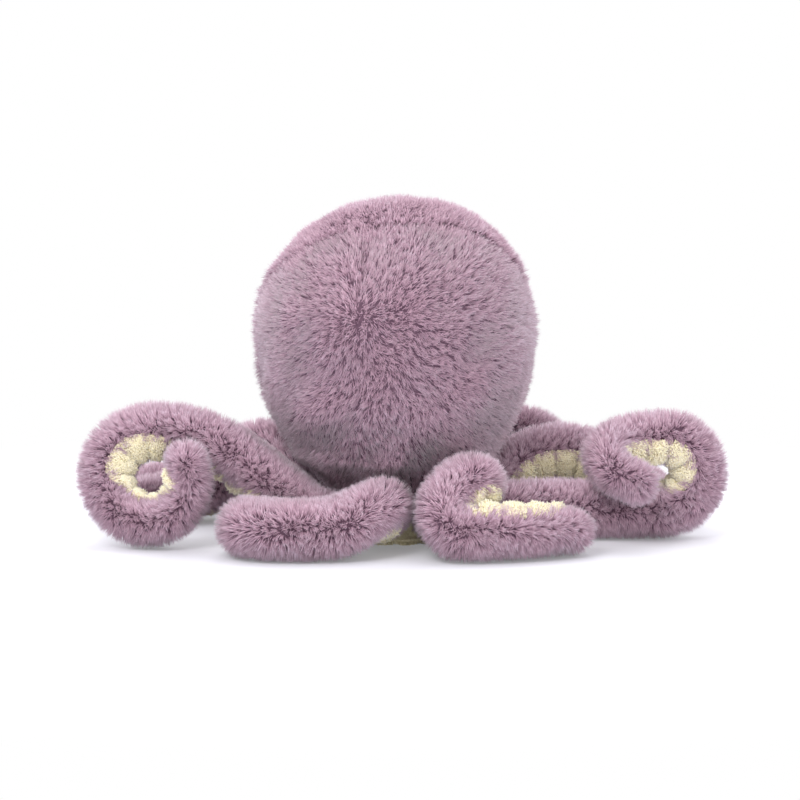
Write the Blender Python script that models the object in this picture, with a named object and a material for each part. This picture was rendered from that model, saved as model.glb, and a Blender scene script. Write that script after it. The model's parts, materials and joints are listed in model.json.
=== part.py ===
"""Plush octopus: a stuffed head over a weighted base, and eight curled arms that hinge at their roots.

Metres, +Z up. The origin is on the floor under the middle of the base. The face looks along +Y.
"""
import math

import bmesh
import bpy
from mathutils import Vector

# Head
HEAD_TOP = 0.189
HEAD_HALF_WIDTH = 0.0773
HEAD_HALF_DEPTH = 0.0740
HEAD_LEAN = 0.0035
FUR_WALL = 0.006
# Height above the floor and half-width, from just above the hem to the crown
HEAD_OUTLINE_SHARES = (
    (0.271, 0.763), (0.330, 0.841), (0.391, 0.915), (0.455, 0.957), (0.526, 0.987), (0.596, 1.0),
    (0.667, 0.990), (0.735, 0.947), (0.807, 0.876), (0.878, 0.750), (0.926, 0.614), (0.963, 0.453),
    (0.989, 0.246),
)
LEAN_START_SHARE = 0.70
# The head is round at its hem, and has its full depth from this share of its height up
ROUND_TO_DEEP_SHARES = (0.24, 0.5)
HEM_RADIUS = 0.0545
HEM_HEIGHT = 0.046
HEM_TURN_SHARES = (0.77, 0.50, 0.20)
HEAD_SIDES = 28

# The seam between the two head panels: upright at the sides, leaning back over the crown
SEAM_BEND_HEIGHT = 0.133
SEAM_LEAN_ANGLE = math.radians(42)

# Arms
ARM_RADIUS = 0.017
ROOT_RADIUS = 0.0145
# An arm swells from its neck to its full radius, and tapers from here to its tip
NECK_END_SHARE = 0.12
PUFFED_SHARE = 0.24
TAPER_START_SHARE = 0.60
ARM_WALL = 0.0055
CORD_RECESS = 0.0015
RIB_PITCH = 0.0127
RIB_HEIGHT = 0.0016
FUR_HALF_ANGLE = math.radians(128)
# The underside is drawn flat at the neck and puffs out beyond it
NECK_FLATTEN_SHARE = 0.30
UNDERSIDE_FLATTEN_SHARE = 0.20
# The flattening starts where the section turns under, at this cosine from the top
FLATTEN_START_SHARE = 0.15
# On the inside of a bend the section reaches no further than this share of the bend's radius
BEND_REACH_SHARE = 0.82
HINGE_LIFT = 0.001
ROOT_SPACING = 0.0014
HEM_CLEARANCE = 0.0006
SEAM_CLEARANCE = 0.0009
FILLING_CLEARANCE = 0.0009
SEAM_FILLING_CLEARANCE = 0.0018

# Base and filling
BASE_THICKNESS = 0.004
BASE_RADIUS = 0.032
CUP_WALL = 0.0028
POUCH_HEIGHT = 0.0185
POUCH_CLEARANCE = 0.0006
# Width and height of the pouch's bulging side, from its floor to its top
POUCH_SIDE_SHARES = ((0.8, 0), (1, 0.3), (1, 0.7), (0.8, 1))

# Face
EYE_RADIUS = 0.005
EYE_DOME = 0.0042
EYE_SPREAD = 0.024
EYE_HEIGHT = 0.104
EYE_SEAT = 0.0015
STEM_RADIUS = 0.002
WASHER_RADIUS = 0.0065
WASHER_THICKNESS = 0.0015
STEM_END = 0.001
MOUTH_WIDTH = 0.016
MOUTH_HEIGHT = 0.092
MOUTH_DROP = 0.0035
THREAD_RADIUS = 0.0008
THREAD_SINK = 0.0003

GAP = 0.0003
OVERRUN = 0.02

# Each arm's place is its compass angle on the root ring, and its heading is the way it leaves.
# Points, centres and curl radii are shares of the arm's radius, from the origin.
# A curl turns in the upright plane of its heading and drifts to the right of that plane.
# The underside faces the focus, a point or an axis (None), once the turn in is over.
ARMS = {
    "arm_left": {
        "place": 212.5, "heading": 180, "tip": 0.80,
        "lead_shares": ((-2.76, -1.42, 1.05), (-3.40, -1.45, 1.44), (-4.12, -1.42, 2.0),
                        (-4.94, -1.33, 2.62), (-5.76, -1.24, 3.18), (-6.8, -1.2, 3.5)),
        "curl": {"centre_shares": (-7.80, -1.20, 2.27), "plane": 0, "start": 88, "sweep": 296,
                 "radius_shares": (1.29, 1.36), "drift_share": 1.9},
        "tail_shares": (),
        "focus_shares": (-7.80, None, 2.27), "turn_in_shares": (0.05, 0.25),
        "lean_shares": ((0, 0), (0.12, 0.3), (0.28, -0.5), (0.48, 0.9), (0.66, 0.9), (0.78, -0.1),
                        (0.88, -0.1), (1, 0.35)),
    },
    "arm_right": {
        "place": 347.5, "heading": 0, "tip": 0.78,
        "lead_shares": ((3.6, -0.5, 0.98), (5.2, -0.4, 1.0), (6.7, -0.35, 1.0), (7.6, -0.35, 1.0)),
        "curl": {"centre_shares": (8.55, -0.35, 2.2), "plane": 0, "start": -84, "sweep": 190,
                 "radius_shares": (1.2, 1.18), "drift_share": 0.75},
        "tail_shares": ((7.40, -1.35, 3.28), (6.72, -1.95, 3.05), (6.79, -2.65, 2.6), (7.57, -2.85, 2.2)),
        "focus_shares": (8.4, None, 2.2), "turn_in_shares": (-0.25, 0.5),
        "lean_shares": ((0, -2.6), (0.18, -2.0), (0.36, -0.8), (0.52, 0.15), (0.7, 0.85), (0.8, 0.9),
                        (0.9, 0.1), (1, -0.8)),
    },
    "arm_rear_left": {
        "place": 257.5, "heading": 270, "tip": 0.85,
        "lead_shares": ((-0.45, -2.95, 1.06), (-0.35, -3.65, 1.5), (-0.85, -4.3, 1.38), (-1.8, -4.68, 1.02),
                        (-3.2, -4.76, 0.97)),
        "curl": None,
        "tail_shares": ((-4.1, -4.62, 0.97), (-4.68, -4.04, 0.95), (-4.2, -3.45, 0.9), (-3.3, -3.38, 0.88),
                        (-2.5, -3.4, 0.86)),
        "focus_shares": (-3.6, -3.98, None), "turn_in_shares": (0.2, 0.42),
        "lean_shares": ((0, 0), (1, 0)),
    },
    "arm_rear_right": {
        "place": 302.5, "heading": 300, "tip": 0.85,
        "lead_shares": ((1.9, -2.52, 1.12), (2.45, -3.0, 1.75), (2.55, -3.55, 2.26), (2.08, -4.1, 2.18),
                        (1.55, -4.55, 1.68), (1.72, -4.87, 1.08), (2.7, -4.84, 0.97)),
        "curl": None,
        "tail_shares": ((3.7, -4.66, 0.97), (4.7, -4.3, 0.95), (5.4, -3.9, 0.9)),
        "focus_shares": (2.9, -4.2, 1.42), "turn_in_shares": (0.2, 0.45),
        "lean_shares": ((0, 0), (0.5, 0), (0.64, 0.62), (0.82, 0.62), (1, 0.35)),
    },
    "arm_right_front": {
        "place": 32.5, "heading": 32.5, "tip": 0.82,
        "lead_shares": ((2.75, 1.72, 1.1), (3.5, 2.2, 1.65), (4.4, 2.55, 2.22), (5.5, 2.75, 2.45),
                        (6.6, 2.75, 2.25)),
        "curl": None,
        "tail_shares": ((7.5, 2.55, 1.4), (8.4, 2.25, 0.95), (9.3, 1.9, 0.88)),
        "focus_shares": None, "turn_in_shares": (0.05, 0.3),
        "lean_shares": ((0, 0), (0.1, 0.15), (0.25, 1.2), (0.7, 1.0), (1, 0.3)),
    },
    "arm_left_front": {
        "place": 167.5, "heading": 150, "tip": 0.82,
        "lead_shares": ((-2.9, 1.1, 1.15), (-3.4, 1.9, 1.85), (-4.0, 2.7, 2.5), (-4.9, 3.3, 2.45),
                        (-5.7, 3.5, 1.6)),
        "curl": None,
        "tail_shares": ((-6.6, 3.3, 1.0), (-7.6, 2.8, 0.95), (-8.4, 2.0, 0.9)),
        "focus_shares": None, "turn_in_shares": (0.05, 0.3),
        "lean_shares": ((0, 0), (0.3, -0.5), (1, -0.5)),
    },
    "arm_front_right": {
        "place": 77.5, "heading": 60, "tip": 0.82,
        "lead_shares": ((1.12, 3.35, 1.05), (1.95, 4.35, 1.55), (3.1, 5.05, 2.3), (4.35, 5.45, 2.78),
                        (5.2, 5.6, 2.35), (5.65, 5.95, 1.4)),
        "curl": None,
        "tail_shares": ((6.3, 6.3, 0.97), (7.4, 6.5, 0.95), (8.4, 5.9, 0.93), (8.7, 5.0, 0.9)),
        "focus_shares": None, "turn_in_shares": (0.05, 0.3),
        "lean_shares": ((0, 0), (1, 0)),
    },
    "arm_front_left": {
        "place": 122.5, "heading": 122.5, "tip": 0.82,
        "lead_shares": ((-1.95, 3.3, 0.98), (-2.75, 4.6, 0.97), (-4.1, 5.55, 0.97), (-5.8, 5.8, 0.97)),
        "curl": None,
        "tail_shares": ((-7.3, 5.5, 0.96), (-8.6, 4.85, 0.94), (-9.2, 4.0, 0.92)),
        "focus_shares": None, "turn_in_shares": (0.05, 0.3),
        "lean_shares": ((0, 0), (0.3, -0.5), (1, -0.5)),
    },
}

ROOT_RING = (ROOT_RADIUS + ROOT_SPACING) / math.sin(math.pi / len(ARMS))
HINGE_HEIGHT = ROOT_RADIUS + HINGE_LIFT

LILAC = (0.40, 0.28, 0.37)
CREAM = (0.82, 0.76, 0.50)
FIBRE = (0.90, 0.90, 0.88)
POUCH_CLOTH = (0.75, 0.74, 0.72)
BLACK = (0.02, 0.02, 0.02)
WASHER_WHITE = (0.8, 0.8, 0.8)

FUR_FACETS = 6
SEAM_FACETS = 3
CORD_FACETS = 3
STEPS_PER_SPAN = 16
TWIST_EASING_ROUNDS = 3
CURL_STEP_ANGLE = 30
SHARP_ANGLE = math.radians(50)
EYE_SIDES = 16
EYE_DOME_STEPS = 4
THREAD_SIDES = 6
THREAD_STEPS = 6
DOME_ANGLES = (math.radians(82), math.radians(58), math.radians(30))


def clear_scene():
    for old in list(bpy.data.objects):
        bpy.data.objects.remove(old, do_unlink=True)


def make_material(name, colour, roughness):
    material = bpy.data.materials.new(name)
    material.use_nodes = True
    shader = material.node_tree.nodes["Principled BSDF"]
    shader.inputs["Base Color"].default_value = (*colour, 1)
    shader.inputs["Roughness"].default_value = roughness
    shader.inputs["Metallic"].default_value = 0
    return material


def add_object(name, mesh, colour, roughness=0.9):
    mesh.materials.append(make_material(name, colour, roughness))
    mesh.shade_smooth()
    mesh.set_sharp_from_angle(angle=SHARP_ANGLE)
    thing = bpy.data.objects.new(name, mesh)
    bpy.context.scene.collection.objects.link(thing)
    return thing


def face_out(mesh):
    work = bmesh.new()
    work.from_mesh(mesh)
    bmesh.ops.recalc_face_normals(work, faces=work.faces)
    work.to_mesh(mesh)
    work.free()


def mesh_from(name, points, faces):
    mesh = bpy.data.meshes.new(name)
    mesh.from_pydata([tuple(point) for point in points], [], faces)
    face_out(mesh)
    return mesh


def blend(low, high, share):
    return low + (high - low) * share


def spread(start, end, steps):
    return [blend(start, end, index / steps) for index in range(steps + 1)]


def smooth_step(low, high, value):
    share = min(1, max(0, (value - low) / (high - low)))
    return share * share * (3 - 2 * share)


def read_table(table, share):
    """The value at a share of the way along a table of (share, value) pairs."""
    for (left, before), (right, after) in zip(table, table[1:]):
        if share <= right:
            return blend(before, after, smooth_step(left, right, share))
    return table[-1][1]


def smooth_curve(points, steps=STEPS_PER_SPAN):
    """Points along a centripetal Catmull-Rom curve through the given points."""
    first = points[0] * 2 - points[1]
    last = points[-1] * 2 - points[-2]
    padded = [first, *points, last]
    curve = []
    for p0, p1, p2, p3 in zip(padded, padded[1:], padded[2:], padded[3:]):
        t1 = math.sqrt((p1 - p0).length)
        t2 = t1 + math.sqrt((p2 - p1).length)
        t3 = t2 + math.sqrt((p3 - p2).length)
        for step in range(steps):
            t = blend(t1, t2, step / steps)
            a1 = p0.lerp(p1, t / t1)
            a2 = p1.lerp(p2, (t - t1) / (t2 - t1))
            a3 = p2.lerp(p3, (t - t2) / (t3 - t2))
            b1 = a1.lerp(a2, t / t2)
            b2 = a2.lerp(a3, (t - t1) / (t3 - t1))
            curve.append(b1.lerp(b2, (t - t1) / (t2 - t1)))
    curve.append(points[-1].copy())
    return curve


def curve_length(curve):
    return sum((after - before).length for before, after in zip(curve, curve[1:]))


def even_stations(curve, spans):
    """Points at equal steps along a curve, its two ends included."""
    step = curve_length(curve) / spans
    stations = [curve[0]]
    walked = 0
    for before, after in zip(curve, curve[1:]):
        piece = (after - before).length
        while len(stations) < spans and walked + piece >= step * len(stations):
            stations.append(before.lerp(after, (step * len(stations) - walked) / piece))
        walked += piece
    stations.append(curve[-1])
    return stations


# Arms

def scaled(shares):
    return Vector(shares) * ARM_RADIUS


def root_point(arm):
    angle = math.radians(arm["place"])
    return Vector((ROOT_RING * math.cos(angle), ROOT_RING * math.sin(angle), HINGE_HEIGHT))


def curl_points(curl):
    """Points of a curl at about even angles."""
    plane = math.radians(curl["plane"])
    across = Vector((math.cos(plane), math.sin(plane), 0))
    up = Vector((0, 0, 1))
    count = round(abs(curl["sweep"]) / CURL_STEP_ANGLE)
    points = []
    for index in range(count + 1):
        share = index / count
        angle = math.radians(curl["start"] + curl["sweep"] * share)
        radius = blend(*curl["radius_shares"], share) * ARM_RADIUS
        turn = (across * math.cos(angle) + up * math.sin(angle)) * radius
        drift = across.cross(up) * (curl["drift_share"] * ARM_RADIUS * share)
        points.append(scaled(curl["centre_shares"]) + turn + drift)
    return points


def arm_stations(arm):
    """The arm's middle line, with one station to each rib."""
    points = [root_point(arm)]
    points += [scaled(shares) for shares in arm["lead_shares"]]
    if arm["curl"]:
        points += curl_points(arm["curl"])
    points += [scaled(shares) for shares in arm["tail_shares"]]
    curve = smooth_curve(points)
    return even_stations(curve, round(curve_length(curve) / RIB_PITCH))


def underside_direction(arm, point, share):
    down = Vector((0, 0, -1))
    aim = down
    if arm["focus_shares"]:
        offsets = [0 if value is None else value * ARM_RADIUS - place
                   for value, place in zip(arm["focus_shares"], point)]
        inward = Vector(offsets)
        if inward.length > 0:
            aim = down.lerp(inward.normalized(), smooth_step(*arm["turn_in_shares"], share))
    return aim + Vector((0, -1, 0)) * read_table(arm["lean_shares"], share)


def neighbours(items, index):
    return items[max(index - 1, 0)], items[min(index + 1, len(items) - 1)]


def squared_to(vector, along):
    return (vector - along * vector.dot(along)).normalized()


def eased(unders, directions):
    """Underside vectors with their twist spread along the arm."""
    for round_number in range(TWIST_EASING_ROUNDS):
        pairs = [neighbours(unders, index) for index in range(len(unders))]
        unders = [squared_to(before + under * 2 + after, along)
                  for (before, after), under, along in zip(pairs, unders, directions)]
    return unders


def arm_radius(arm, share):
    swell = blend(ROOT_RADIUS, ARM_RADIUS, smooth_step(0, NECK_END_SHARE, share))
    return swell * blend(1, arm["tip"], smooth_step(TAPER_START_SHARE, 1, share))


def arm_flatten(share):
    puffing = smooth_step(NECK_END_SHARE, PUFFED_SHARE, share)
    return blend(NECK_FLATTEN_SHARE, UNDERSIDE_FLATTEN_SHARE, puffing)


def arm_bend(stations, index):
    """Points to the middle of the bend at a station. Its length is one over the bend's radius."""
    if index in (0, len(stations) - 1):
        return Vector((0, 0, 0))
    before = stations[index] - stations[index - 1]
    after = stations[index + 1] - stations[index]
    return (after.normalized() - before.normalized()) / before.length


def arm_frames(arm):
    """Station, direction, underside, side and bend vectors, radius and flattening at each rib's edge."""
    stations = arm_stations(arm)
    shares = spread(0, 1, len(stations) - 1)
    pairs = [neighbours(stations, index) for index in range(len(stations))]
    directions = [(after - before).normalized() for before, after in pairs]
    unders = [squared_to(underside_direction(arm, point, share), along)
              for point, share, along in zip(stations, shares, directions)]
    unders = eased(unders, directions)
    bends = [arm_bend(stations, index) for index in range(len(stations))]
    return [(point, along, under, along.cross(under), bend, arm_radius(arm, share), arm_flatten(share))
            for point, along, under, bend, share in zip(stations, directions, unders, bends, shares)]


def dome_rings(end):
    """Shrinking rings round an arm's end: centre shift and width share for each."""
    return [(end * math.sin(angle), math.cos(angle)) for angle in DOME_ANGLES]


def section_point(frame, angle, inset, shift, width):
    """A point on the arm's section. Angle zero is the middle of the fur side."""
    point, along, under, side, bend, radius, most_flat = frame
    flatten = most_flat * smooth_step(FLATTEN_START_SHARE, -1, math.cos(angle))
    outward = side * math.sin(angle) - under * math.cos(angle)
    full = radius * (1 - flatten)
    inward = max(bend.dot(outward) * full, BEND_REACH_SHARE)
    reach = full * BEND_REACH_SHARE / inward - inset
    depth = radius - inset
    return point + outward * (reach * width) + along * (depth * shift)


def arm_rings(frames, loop):
    """The loop of (angle, inset) pairs, swept from the domed root to the domed tip."""
    rings = []
    for shift, width in dome_rings(-1):
        rings.append([section_point(frames[0], angle, inset, shift, width) for angle, inset in loop])
    for frame in frames:
        rings.append([section_point(frame, angle, inset, 0, 1) for angle, inset in loop])
    for shift, width in reversed(dome_rings(1)):
        rings.append([section_point(frames[-1], angle, inset, shift, width) for angle, inset in loop])
    return rings


def skin_rings(rings, angles, caps):
    """Triangles over a stack of rings of equal length, and faces over its two ends.

    Every diagonal climbs towards the larger angle, so that pieces that mate are cut alike.
    """
    count = len(rings[0])
    faces = []
    for level in range(len(rings) - 1):
        low = level * count
        high = low + count
        for index in range(count):
            after = (index + 1) % count
            climbs = angles[after] > angles[index] or after == 0
            if climbs:
                faces.append((low + index, low + after, high + after))
                faces.append((low + index, high + after, high + index))
            else:
                faces.append((low + index, low + after, high + index))
                faces.append((low + after, high + after, high + index))
    last = (len(rings) - 1) * count
    for cap in caps:
        faces.append(tuple(reversed(cap)))
        faces.append(tuple(last + index for index in cap))
    return faces


def floored(points):
    """Points pressed flat where the arm lies on the floor."""
    return [Vector((point.x, point.y, max(point.z, 0))) for point in points]


def arm_mesh(name, rings, loop, caps):
    points = [point for ring in rings for point in ring]
    angles = [angle for angle, inset in loop]
    return mesh_from(name, floored(points), skin_rings(rings, angles, caps))


def fur_mesh(name, frames):
    outer = [(angle, 0) for angle in spread(-FUR_HALF_ANGLE, FUR_HALF_ANGLE, FUR_FACETS)]
    inner = [(angle, ARM_WALL) for angle in spread(FUR_HALF_ANGLE, -FUR_HALF_ANGLE, SEAM_FACETS)]
    loop = outer + inner
    step = FUR_FACETS // SEAM_FACETS
    caps = []
    for index in range(SEAM_FACETS):
        low = index * step
        mate = len(loop) - 1 - index
        caps.append((*range(low, low + step + 1), mate - 1, mate))
    return arm_mesh(name, arm_rings(frames, loop), loop, caps)


def ribbed_rings(frames, loop, crest):
    """Rings at each groove, with a fuller ring at each crest between them."""
    grooves = arm_rings(frames, loop)
    crests = arm_rings(frames, crest)
    ends = len(DOME_ANGLES)
    rings = grooves[:ends + 1]
    for index in range(ends, len(grooves) - ends - 1):
        rings.append([(before + after) / 2 for before, after in zip(crests[index], crests[index + 1])])
        rings.append(grooves[index + 1])
    return rings + grooves[len(grooves) - ends:]


def cord_mesh(name, frames):
    seam_angle = FUR_HALF_ANGLE + SEAM_CLEARANCE / (ARM_RADIUS - ARM_WALL)
    far = 2 * math.pi - seam_angle
    angles = spread(seam_angle, far, CORD_FACETS)
    inner = [(far, ARM_WALL), (seam_angle, ARM_WALL)]
    groove = CORD_RECESS + RIB_HEIGHT
    loop = [(angle, groove) for angle in angles] + inner
    crest = [(angle, CORD_RECESS) for angle in angles] + inner
    return arm_mesh(name, ribbed_rings(frames, loop, crest), loop, [tuple(range(len(loop)))])


def stuffing_mesh(name, frames):
    """The filling, drawn in further along the two seams, where fur and cord meet."""
    along_seam = ARM_WALL + SEAM_FILLING_CLEARANCE
    between = ARM_WALL + FILLING_CLEARANCE
    angles = spread(-FUR_HALF_ANGLE, FUR_HALF_ANGLE, SEAM_FACETS)
    loop = [(angle, between) for angle in angles]
    loop[0] = (angles[0], along_seam)
    loop[-1] = (angles[-1], along_seam)
    return arm_mesh(name, arm_rings(frames, loop), loop, [tuple(range(len(loop)))])


def build_arm(name, arm):
    frames = arm_frames(arm)
    pieces = (
        add_object(name + "_fur", fur_mesh(name + "_fur", frames), LILAC),
        add_object(name + "_cord", cord_mesh(name + "_cord", frames), CREAM),
        add_object(name + "_stuffing", stuffing_mesh(name + "_stuffing", frames), FIBRE),
    )
    hinge = bpy.data.objects.new(name + "_hinge", None)
    hinge.location = root_point(arm)
    hinge.rotation_euler = (0, 0, math.radians(arm["heading"]))
    bpy.context.scene.collection.objects.link(hinge)
    bpy.context.view_layer.update()
    for piece in pieces:
        piece.parent = hinge
        piece.matrix_parent_inverse = hinge.matrix_world.inverted()


# Head

def head_outline():
    """Half-width and height of the head's fur, from the turned-in hem to the crown."""
    hem = []
    for share in HEM_TURN_SHARES:
        reach = ROOT_RADIUS * share
        rise = math.sqrt(ROOT_RADIUS ** 2 - reach ** 2)
        hem.append((ROOT_RING - reach, HINGE_HEIGHT + rise + HEM_CLEARANCE))
    hem.append((HEM_RADIUS, HEM_HEIGHT))
    side = [(HEAD_HALF_WIDTH * width, HEAD_TOP * height) for height, width in HEAD_OUTLINE_SHARES]
    return hem + side + [(0, HEAD_TOP)]


def inset_outline(outline, distance):
    """The outline moved inwards by a distance. Its last point stays on the axis."""
    moved = []
    for index, (radius, height) in enumerate(outline):
        before = outline[max(index - 1, 0)]
        after = outline[index + 1] if index + 1 < len(outline) else (-before[0], before[1])
        run = Vector((after[0] - before[0], after[1] - before[1])).normalized()
        moved.append((radius - run.y * distance, height + run.x * distance))
    moved[-1] = (0, outline[-1][1] - distance)
    return moved


def depth_share(height):
    """The head's depth as a share of its width."""
    least = HEAD_HALF_DEPTH / HEAD_HALF_WIDTH
    return blend(1, least, smooth_step(*ROUND_TO_DEEP_SHARES, height / HEAD_TOP))


def head_place(radius, height, angle):
    """A point on a ring of the head, which is shallower than wide and leans a little."""
    lean = HEAD_LEAN * smooth_step(LEAN_START_SHARE, 1, height / HEAD_TOP)
    deep = radius * depth_share(height)
    return Vector((radius * math.cos(angle) + lean, deep * math.sin(angle), height))


def turned_mesh(name, outline, place, sides):
    """A closed solid turned from an outline. Points on the axis become poles."""
    points = []
    rings = []
    for radius, height in outline:
        if radius == 0:
            rings.append([len(points)])
            points.append(place(0, height, 0))
            continue
        start = len(points)
        rings.append(list(range(start, start + sides)))
        points += [place(radius, height, 2 * math.pi * index / sides) for index in range(sides)]
    faces = []
    pairs = list(zip(rings, rings[1:]))
    if len(rings[0]) > 1 and len(rings[-1]) > 1:
        pairs.append((rings[-1], rings[0]))
    for low, high in pairs:
        for index in range(sides):
            after = (index + 1) % sides
            if len(low) == 1:
                faces.append((low[0], high[after], high[index]))
            elif len(high) == 1:
                faces.append((low[index], low[after], high[0]))
            else:
                faces.append((low[index], low[after], high[after], high[index]))
    return mesh_from(name, points, faces)


def head_shell_mesh(name):
    outer = head_outline()
    inner = inset_outline(outer, FUR_WALL)
    points = turned_mesh(name, outer, head_place, HEAD_SIDES)
    lining = turned_mesh(name + "_lining", inner, head_place, HEAD_SIDES)
    shell = bmesh.new()
    shell.from_mesh(points)
    outer_count = len(shell.verts)
    shell.from_mesh(lining)
    shell.verts.ensure_lookup_table()
    shell.faces.ensure_lookup_table()
    for index in range(HEAD_SIDES):
        after = (index + 1) % HEAD_SIDES
        low = [shell.verts[index], shell.verts[after]]
        high = [shell.verts[outer_count + after], shell.verts[outer_count + index]]
        shell.faces.new((low[1], low[0], high[1], high[0]))
    shell.to_mesh(points)
    shell.free()
    bpy.data.meshes.remove(lining)
    face_out(points)
    return points


def seam_cutter(name, offset, back):
    """A block behind (or before) the bent seam surface, which lies offset from its middle."""
    reach = HEAD_HALF_WIDTH + OVERRUN
    top = HEAD_TOP + OVERRUN
    rise = top - SEAM_BEND_HEIGHT
    lean = rise * math.tan(SEAM_LEAN_ANGLE)
    far = -reach - lean if back else reach
    line = [(offset, -OVERRUN), (offset, SEAM_BEND_HEIGHT), (offset - lean, top), (far, top),
            (far, -OVERRUN)]
    if back:
        line.reverse()
    points = [Vector((-reach, y, z)) for y, z in line] + [Vector((reach, y, z)) for y, z in line]
    count = len(line)
    faces = [tuple(range(count))[::-1], tuple(range(count, 2 * count))]
    for index in range(count):
        after = (index + 1) % count
        faces.append((index, after, count + after, count + index))
    return as_guide(name, mesh_from(name, points, faces))


def as_guide(name, mesh):
    guide = bpy.data.objects.new(name, mesh)
    guide.hide_render = True
    guide.display_type = "WIRE"
    bpy.context.scene.collection.objects.link(guide)
    return guide


def cut(thing, cutter, operation="DIFFERENCE"):
    modifier = thing.modifiers.new(cutter.name, "BOOLEAN")
    modifier.object = cutter
    modifier.operation = operation
    modifier.solver = "EXACT"


def build_head():
    back = add_object("head_back_panel", head_shell_mesh("head_back_panel"), LILAC)
    front = add_object("head_front_panel", head_shell_mesh("head_front_panel"), LILAC)
    cut(back, seam_cutter("seam_back", -GAP / 2, True), "INTERSECT")
    cut(front, seam_cutter("seam_front", GAP / 2, False), "INTERSECT")
    outline = inset_outline(head_outline(), FUR_WALL + GAP)
    floor = cup_rim() + GAP
    body = [(0, floor), (cup_radius() - CUP_WALL, floor)] + outline
    mesh = turned_mesh("head_stuffing", body, head_place, HEAD_SIDES)
    stuffing = add_object("head_stuffing", mesh, FIBRE)
    return front, stuffing


# Base

def cup_radius():
    return ROOT_RING - ROOT_RADIUS - GAP


def cup_rim():
    return BASE_THICKNESS + POUCH_HEIGHT + POUCH_CLEARANCE


def plain_place(radius, height, angle):
    return Vector((radius * math.cos(angle), radius * math.sin(angle), height))


def build_base():
    cup = cup_radius()
    inner = cup - CUP_WALL
    rim = cup_rim()
    outline = [(0, 0), (BASE_RADIUS, 0), (BASE_RADIUS, BASE_THICKNESS / 2), (cup, BASE_THICKNESS),
               (cup, rim), (inner, rim), (inner, BASE_THICKNESS), (0, BASE_THICKNESS)]
    add_object("base_panel", turned_mesh("base_panel", outline, plain_place, HEAD_SIDES), CREAM)
    low = BASE_THICKNESS + GAP
    reach = inner - GAP
    side = [(reach * width, low + POUCH_HEIGHT * height) for width, height in POUCH_SIDE_SHARES]
    pouch = [(0, low), *side, (0, low + POUCH_HEIGHT)]
    add_object("pellet_pouch", turned_mesh("pellet_pouch", pouch, plain_place, HEAD_SIDES), POUCH_CLOTH)


# Face

def half_width(height):
    """The head's half-width at a height."""
    outline = head_outline()
    for (inner, low), (outer, high) in zip(outline, outline[1:]):
        if low <= height <= high:
            return blend(inner, outer, (height - low) / (high - low))
    return 0


def front_point(x, height):
    """A point on the front of the head's fur, and the level direction that it faces."""
    deep = depth_share(height)
    y = deep * math.sqrt(half_width(height) ** 2 - x ** 2)
    return Vector((x, y, height)), Vector((x, y / deep ** 2, 0)).normalized()


def facing_place(x, height):
    """Places points of a piece that is turned about a line out of the head."""
    seat, facing = front_point(x, height)
    up = Vector((0, 0, 1))
    side = facing.cross(up)

    def place(radius, out, angle):
        return seat + facing * out + (side * math.cos(angle) + up * math.sin(angle)) * radius
    return place


def eye_outline(low):
    dome = [(EYE_RADIUS * math.cos(angle), EYE_DOME * math.sin(angle) - EYE_SEAT)
            for angle in spread(0, math.pi / 2, EYE_DOME_STEPS)]
    dome[-1] = (0, EYE_DOME - EYE_SEAT)
    return [(0, low), (STEM_RADIUS, low), (STEM_RADIUS, -EYE_SEAT), *dome]


def eye_hole_outline(low, washer_low, washer_top):
    bore = STEM_RADIUS + GAP
    pocket = WASHER_RADIUS + GAP
    seat = EYE_RADIUS + GAP
    return [(0, low - GAP), (bore, low - GAP), (bore, washer_low - GAP), (pocket, washer_low - GAP),
            (pocket, washer_top + GAP), (bore, washer_top + GAP), (bore, -EYE_SEAT - GAP),
            (seat, -EYE_SEAT - GAP), (seat, OVERRUN), (0, OVERRUN)]


def build_eye(side, x, front, stuffing):
    """A domed eye whose stem passes through the fur into a washer behind it."""
    place = facing_place(x, EYE_HEIGHT)
    washer_top = -FUR_WALL - GAP
    washer_low = washer_top - WASHER_THICKNESS
    low = washer_low - STEM_END
    bore = STEM_RADIUS + GAP
    washer = [(bore, washer_low), (WASHER_RADIUS, washer_low), (WASHER_RADIUS, washer_top),
              (bore, washer_top)]
    eye_mesh = turned_mesh("eye_" + side, eye_outline(low), place, EYE_SIDES)
    add_object("eye_" + side, eye_mesh, BLACK, roughness=0.15)
    washer_mesh = turned_mesh("eye_washer_" + side, washer, place, EYE_SIDES)
    add_object("eye_washer_" + side, washer_mesh, WASHER_WHITE, roughness=0.5)
    hole_outline = eye_hole_outline(low, washer_low, washer_top)
    hole = as_guide("eye_hole_" + side, turned_mesh("eye_hole_" + side, hole_outline, place, EYE_SIDES))
    cut(front, hole)
    cut(stuffing, hole)


def thread_mesh(name, radius, overhang):
    """A thread that curves across the front of the head, half sunk in it."""
    reach = MOUTH_WIDTH / 2 + overhang
    angles = spread(0, 2 * math.pi, THREAD_SIDES)[:-1]
    line = []
    for x in spread(-reach, reach, THREAD_STEPS):
        rise = (2 * x / MOUTH_WIDTH) ** 2 - 1
        point, facing = front_point(x, MOUTH_HEIGHT + MOUTH_DROP * rise)
        line.append((point - facing * THREAD_SINK, facing))
    rings = []
    for index, (point, facing) in enumerate(line):
        (before, _), (after, _) = neighbours(line, index)
        side = facing.cross((after - before).normalized())
        ring = [side * math.cos(angle) + facing * math.sin(angle) for angle in angles]
        rings.append([point + way * radius for way in ring])
    points = [point for ring in rings for point in ring]
    return mesh_from(name, points, skin_rings(rings, angles, [tuple(range(THREAD_SIDES))]))


def build_mouth(front):
    add_object("mouth_stitch", thread_mesh("mouth_stitch", THREAD_RADIUS, 0), BLACK)
    cut(front, as_guide("mouth_groove", thread_mesh("mouth_groove", THREAD_RADIUS + GAP, GAP)))


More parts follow.
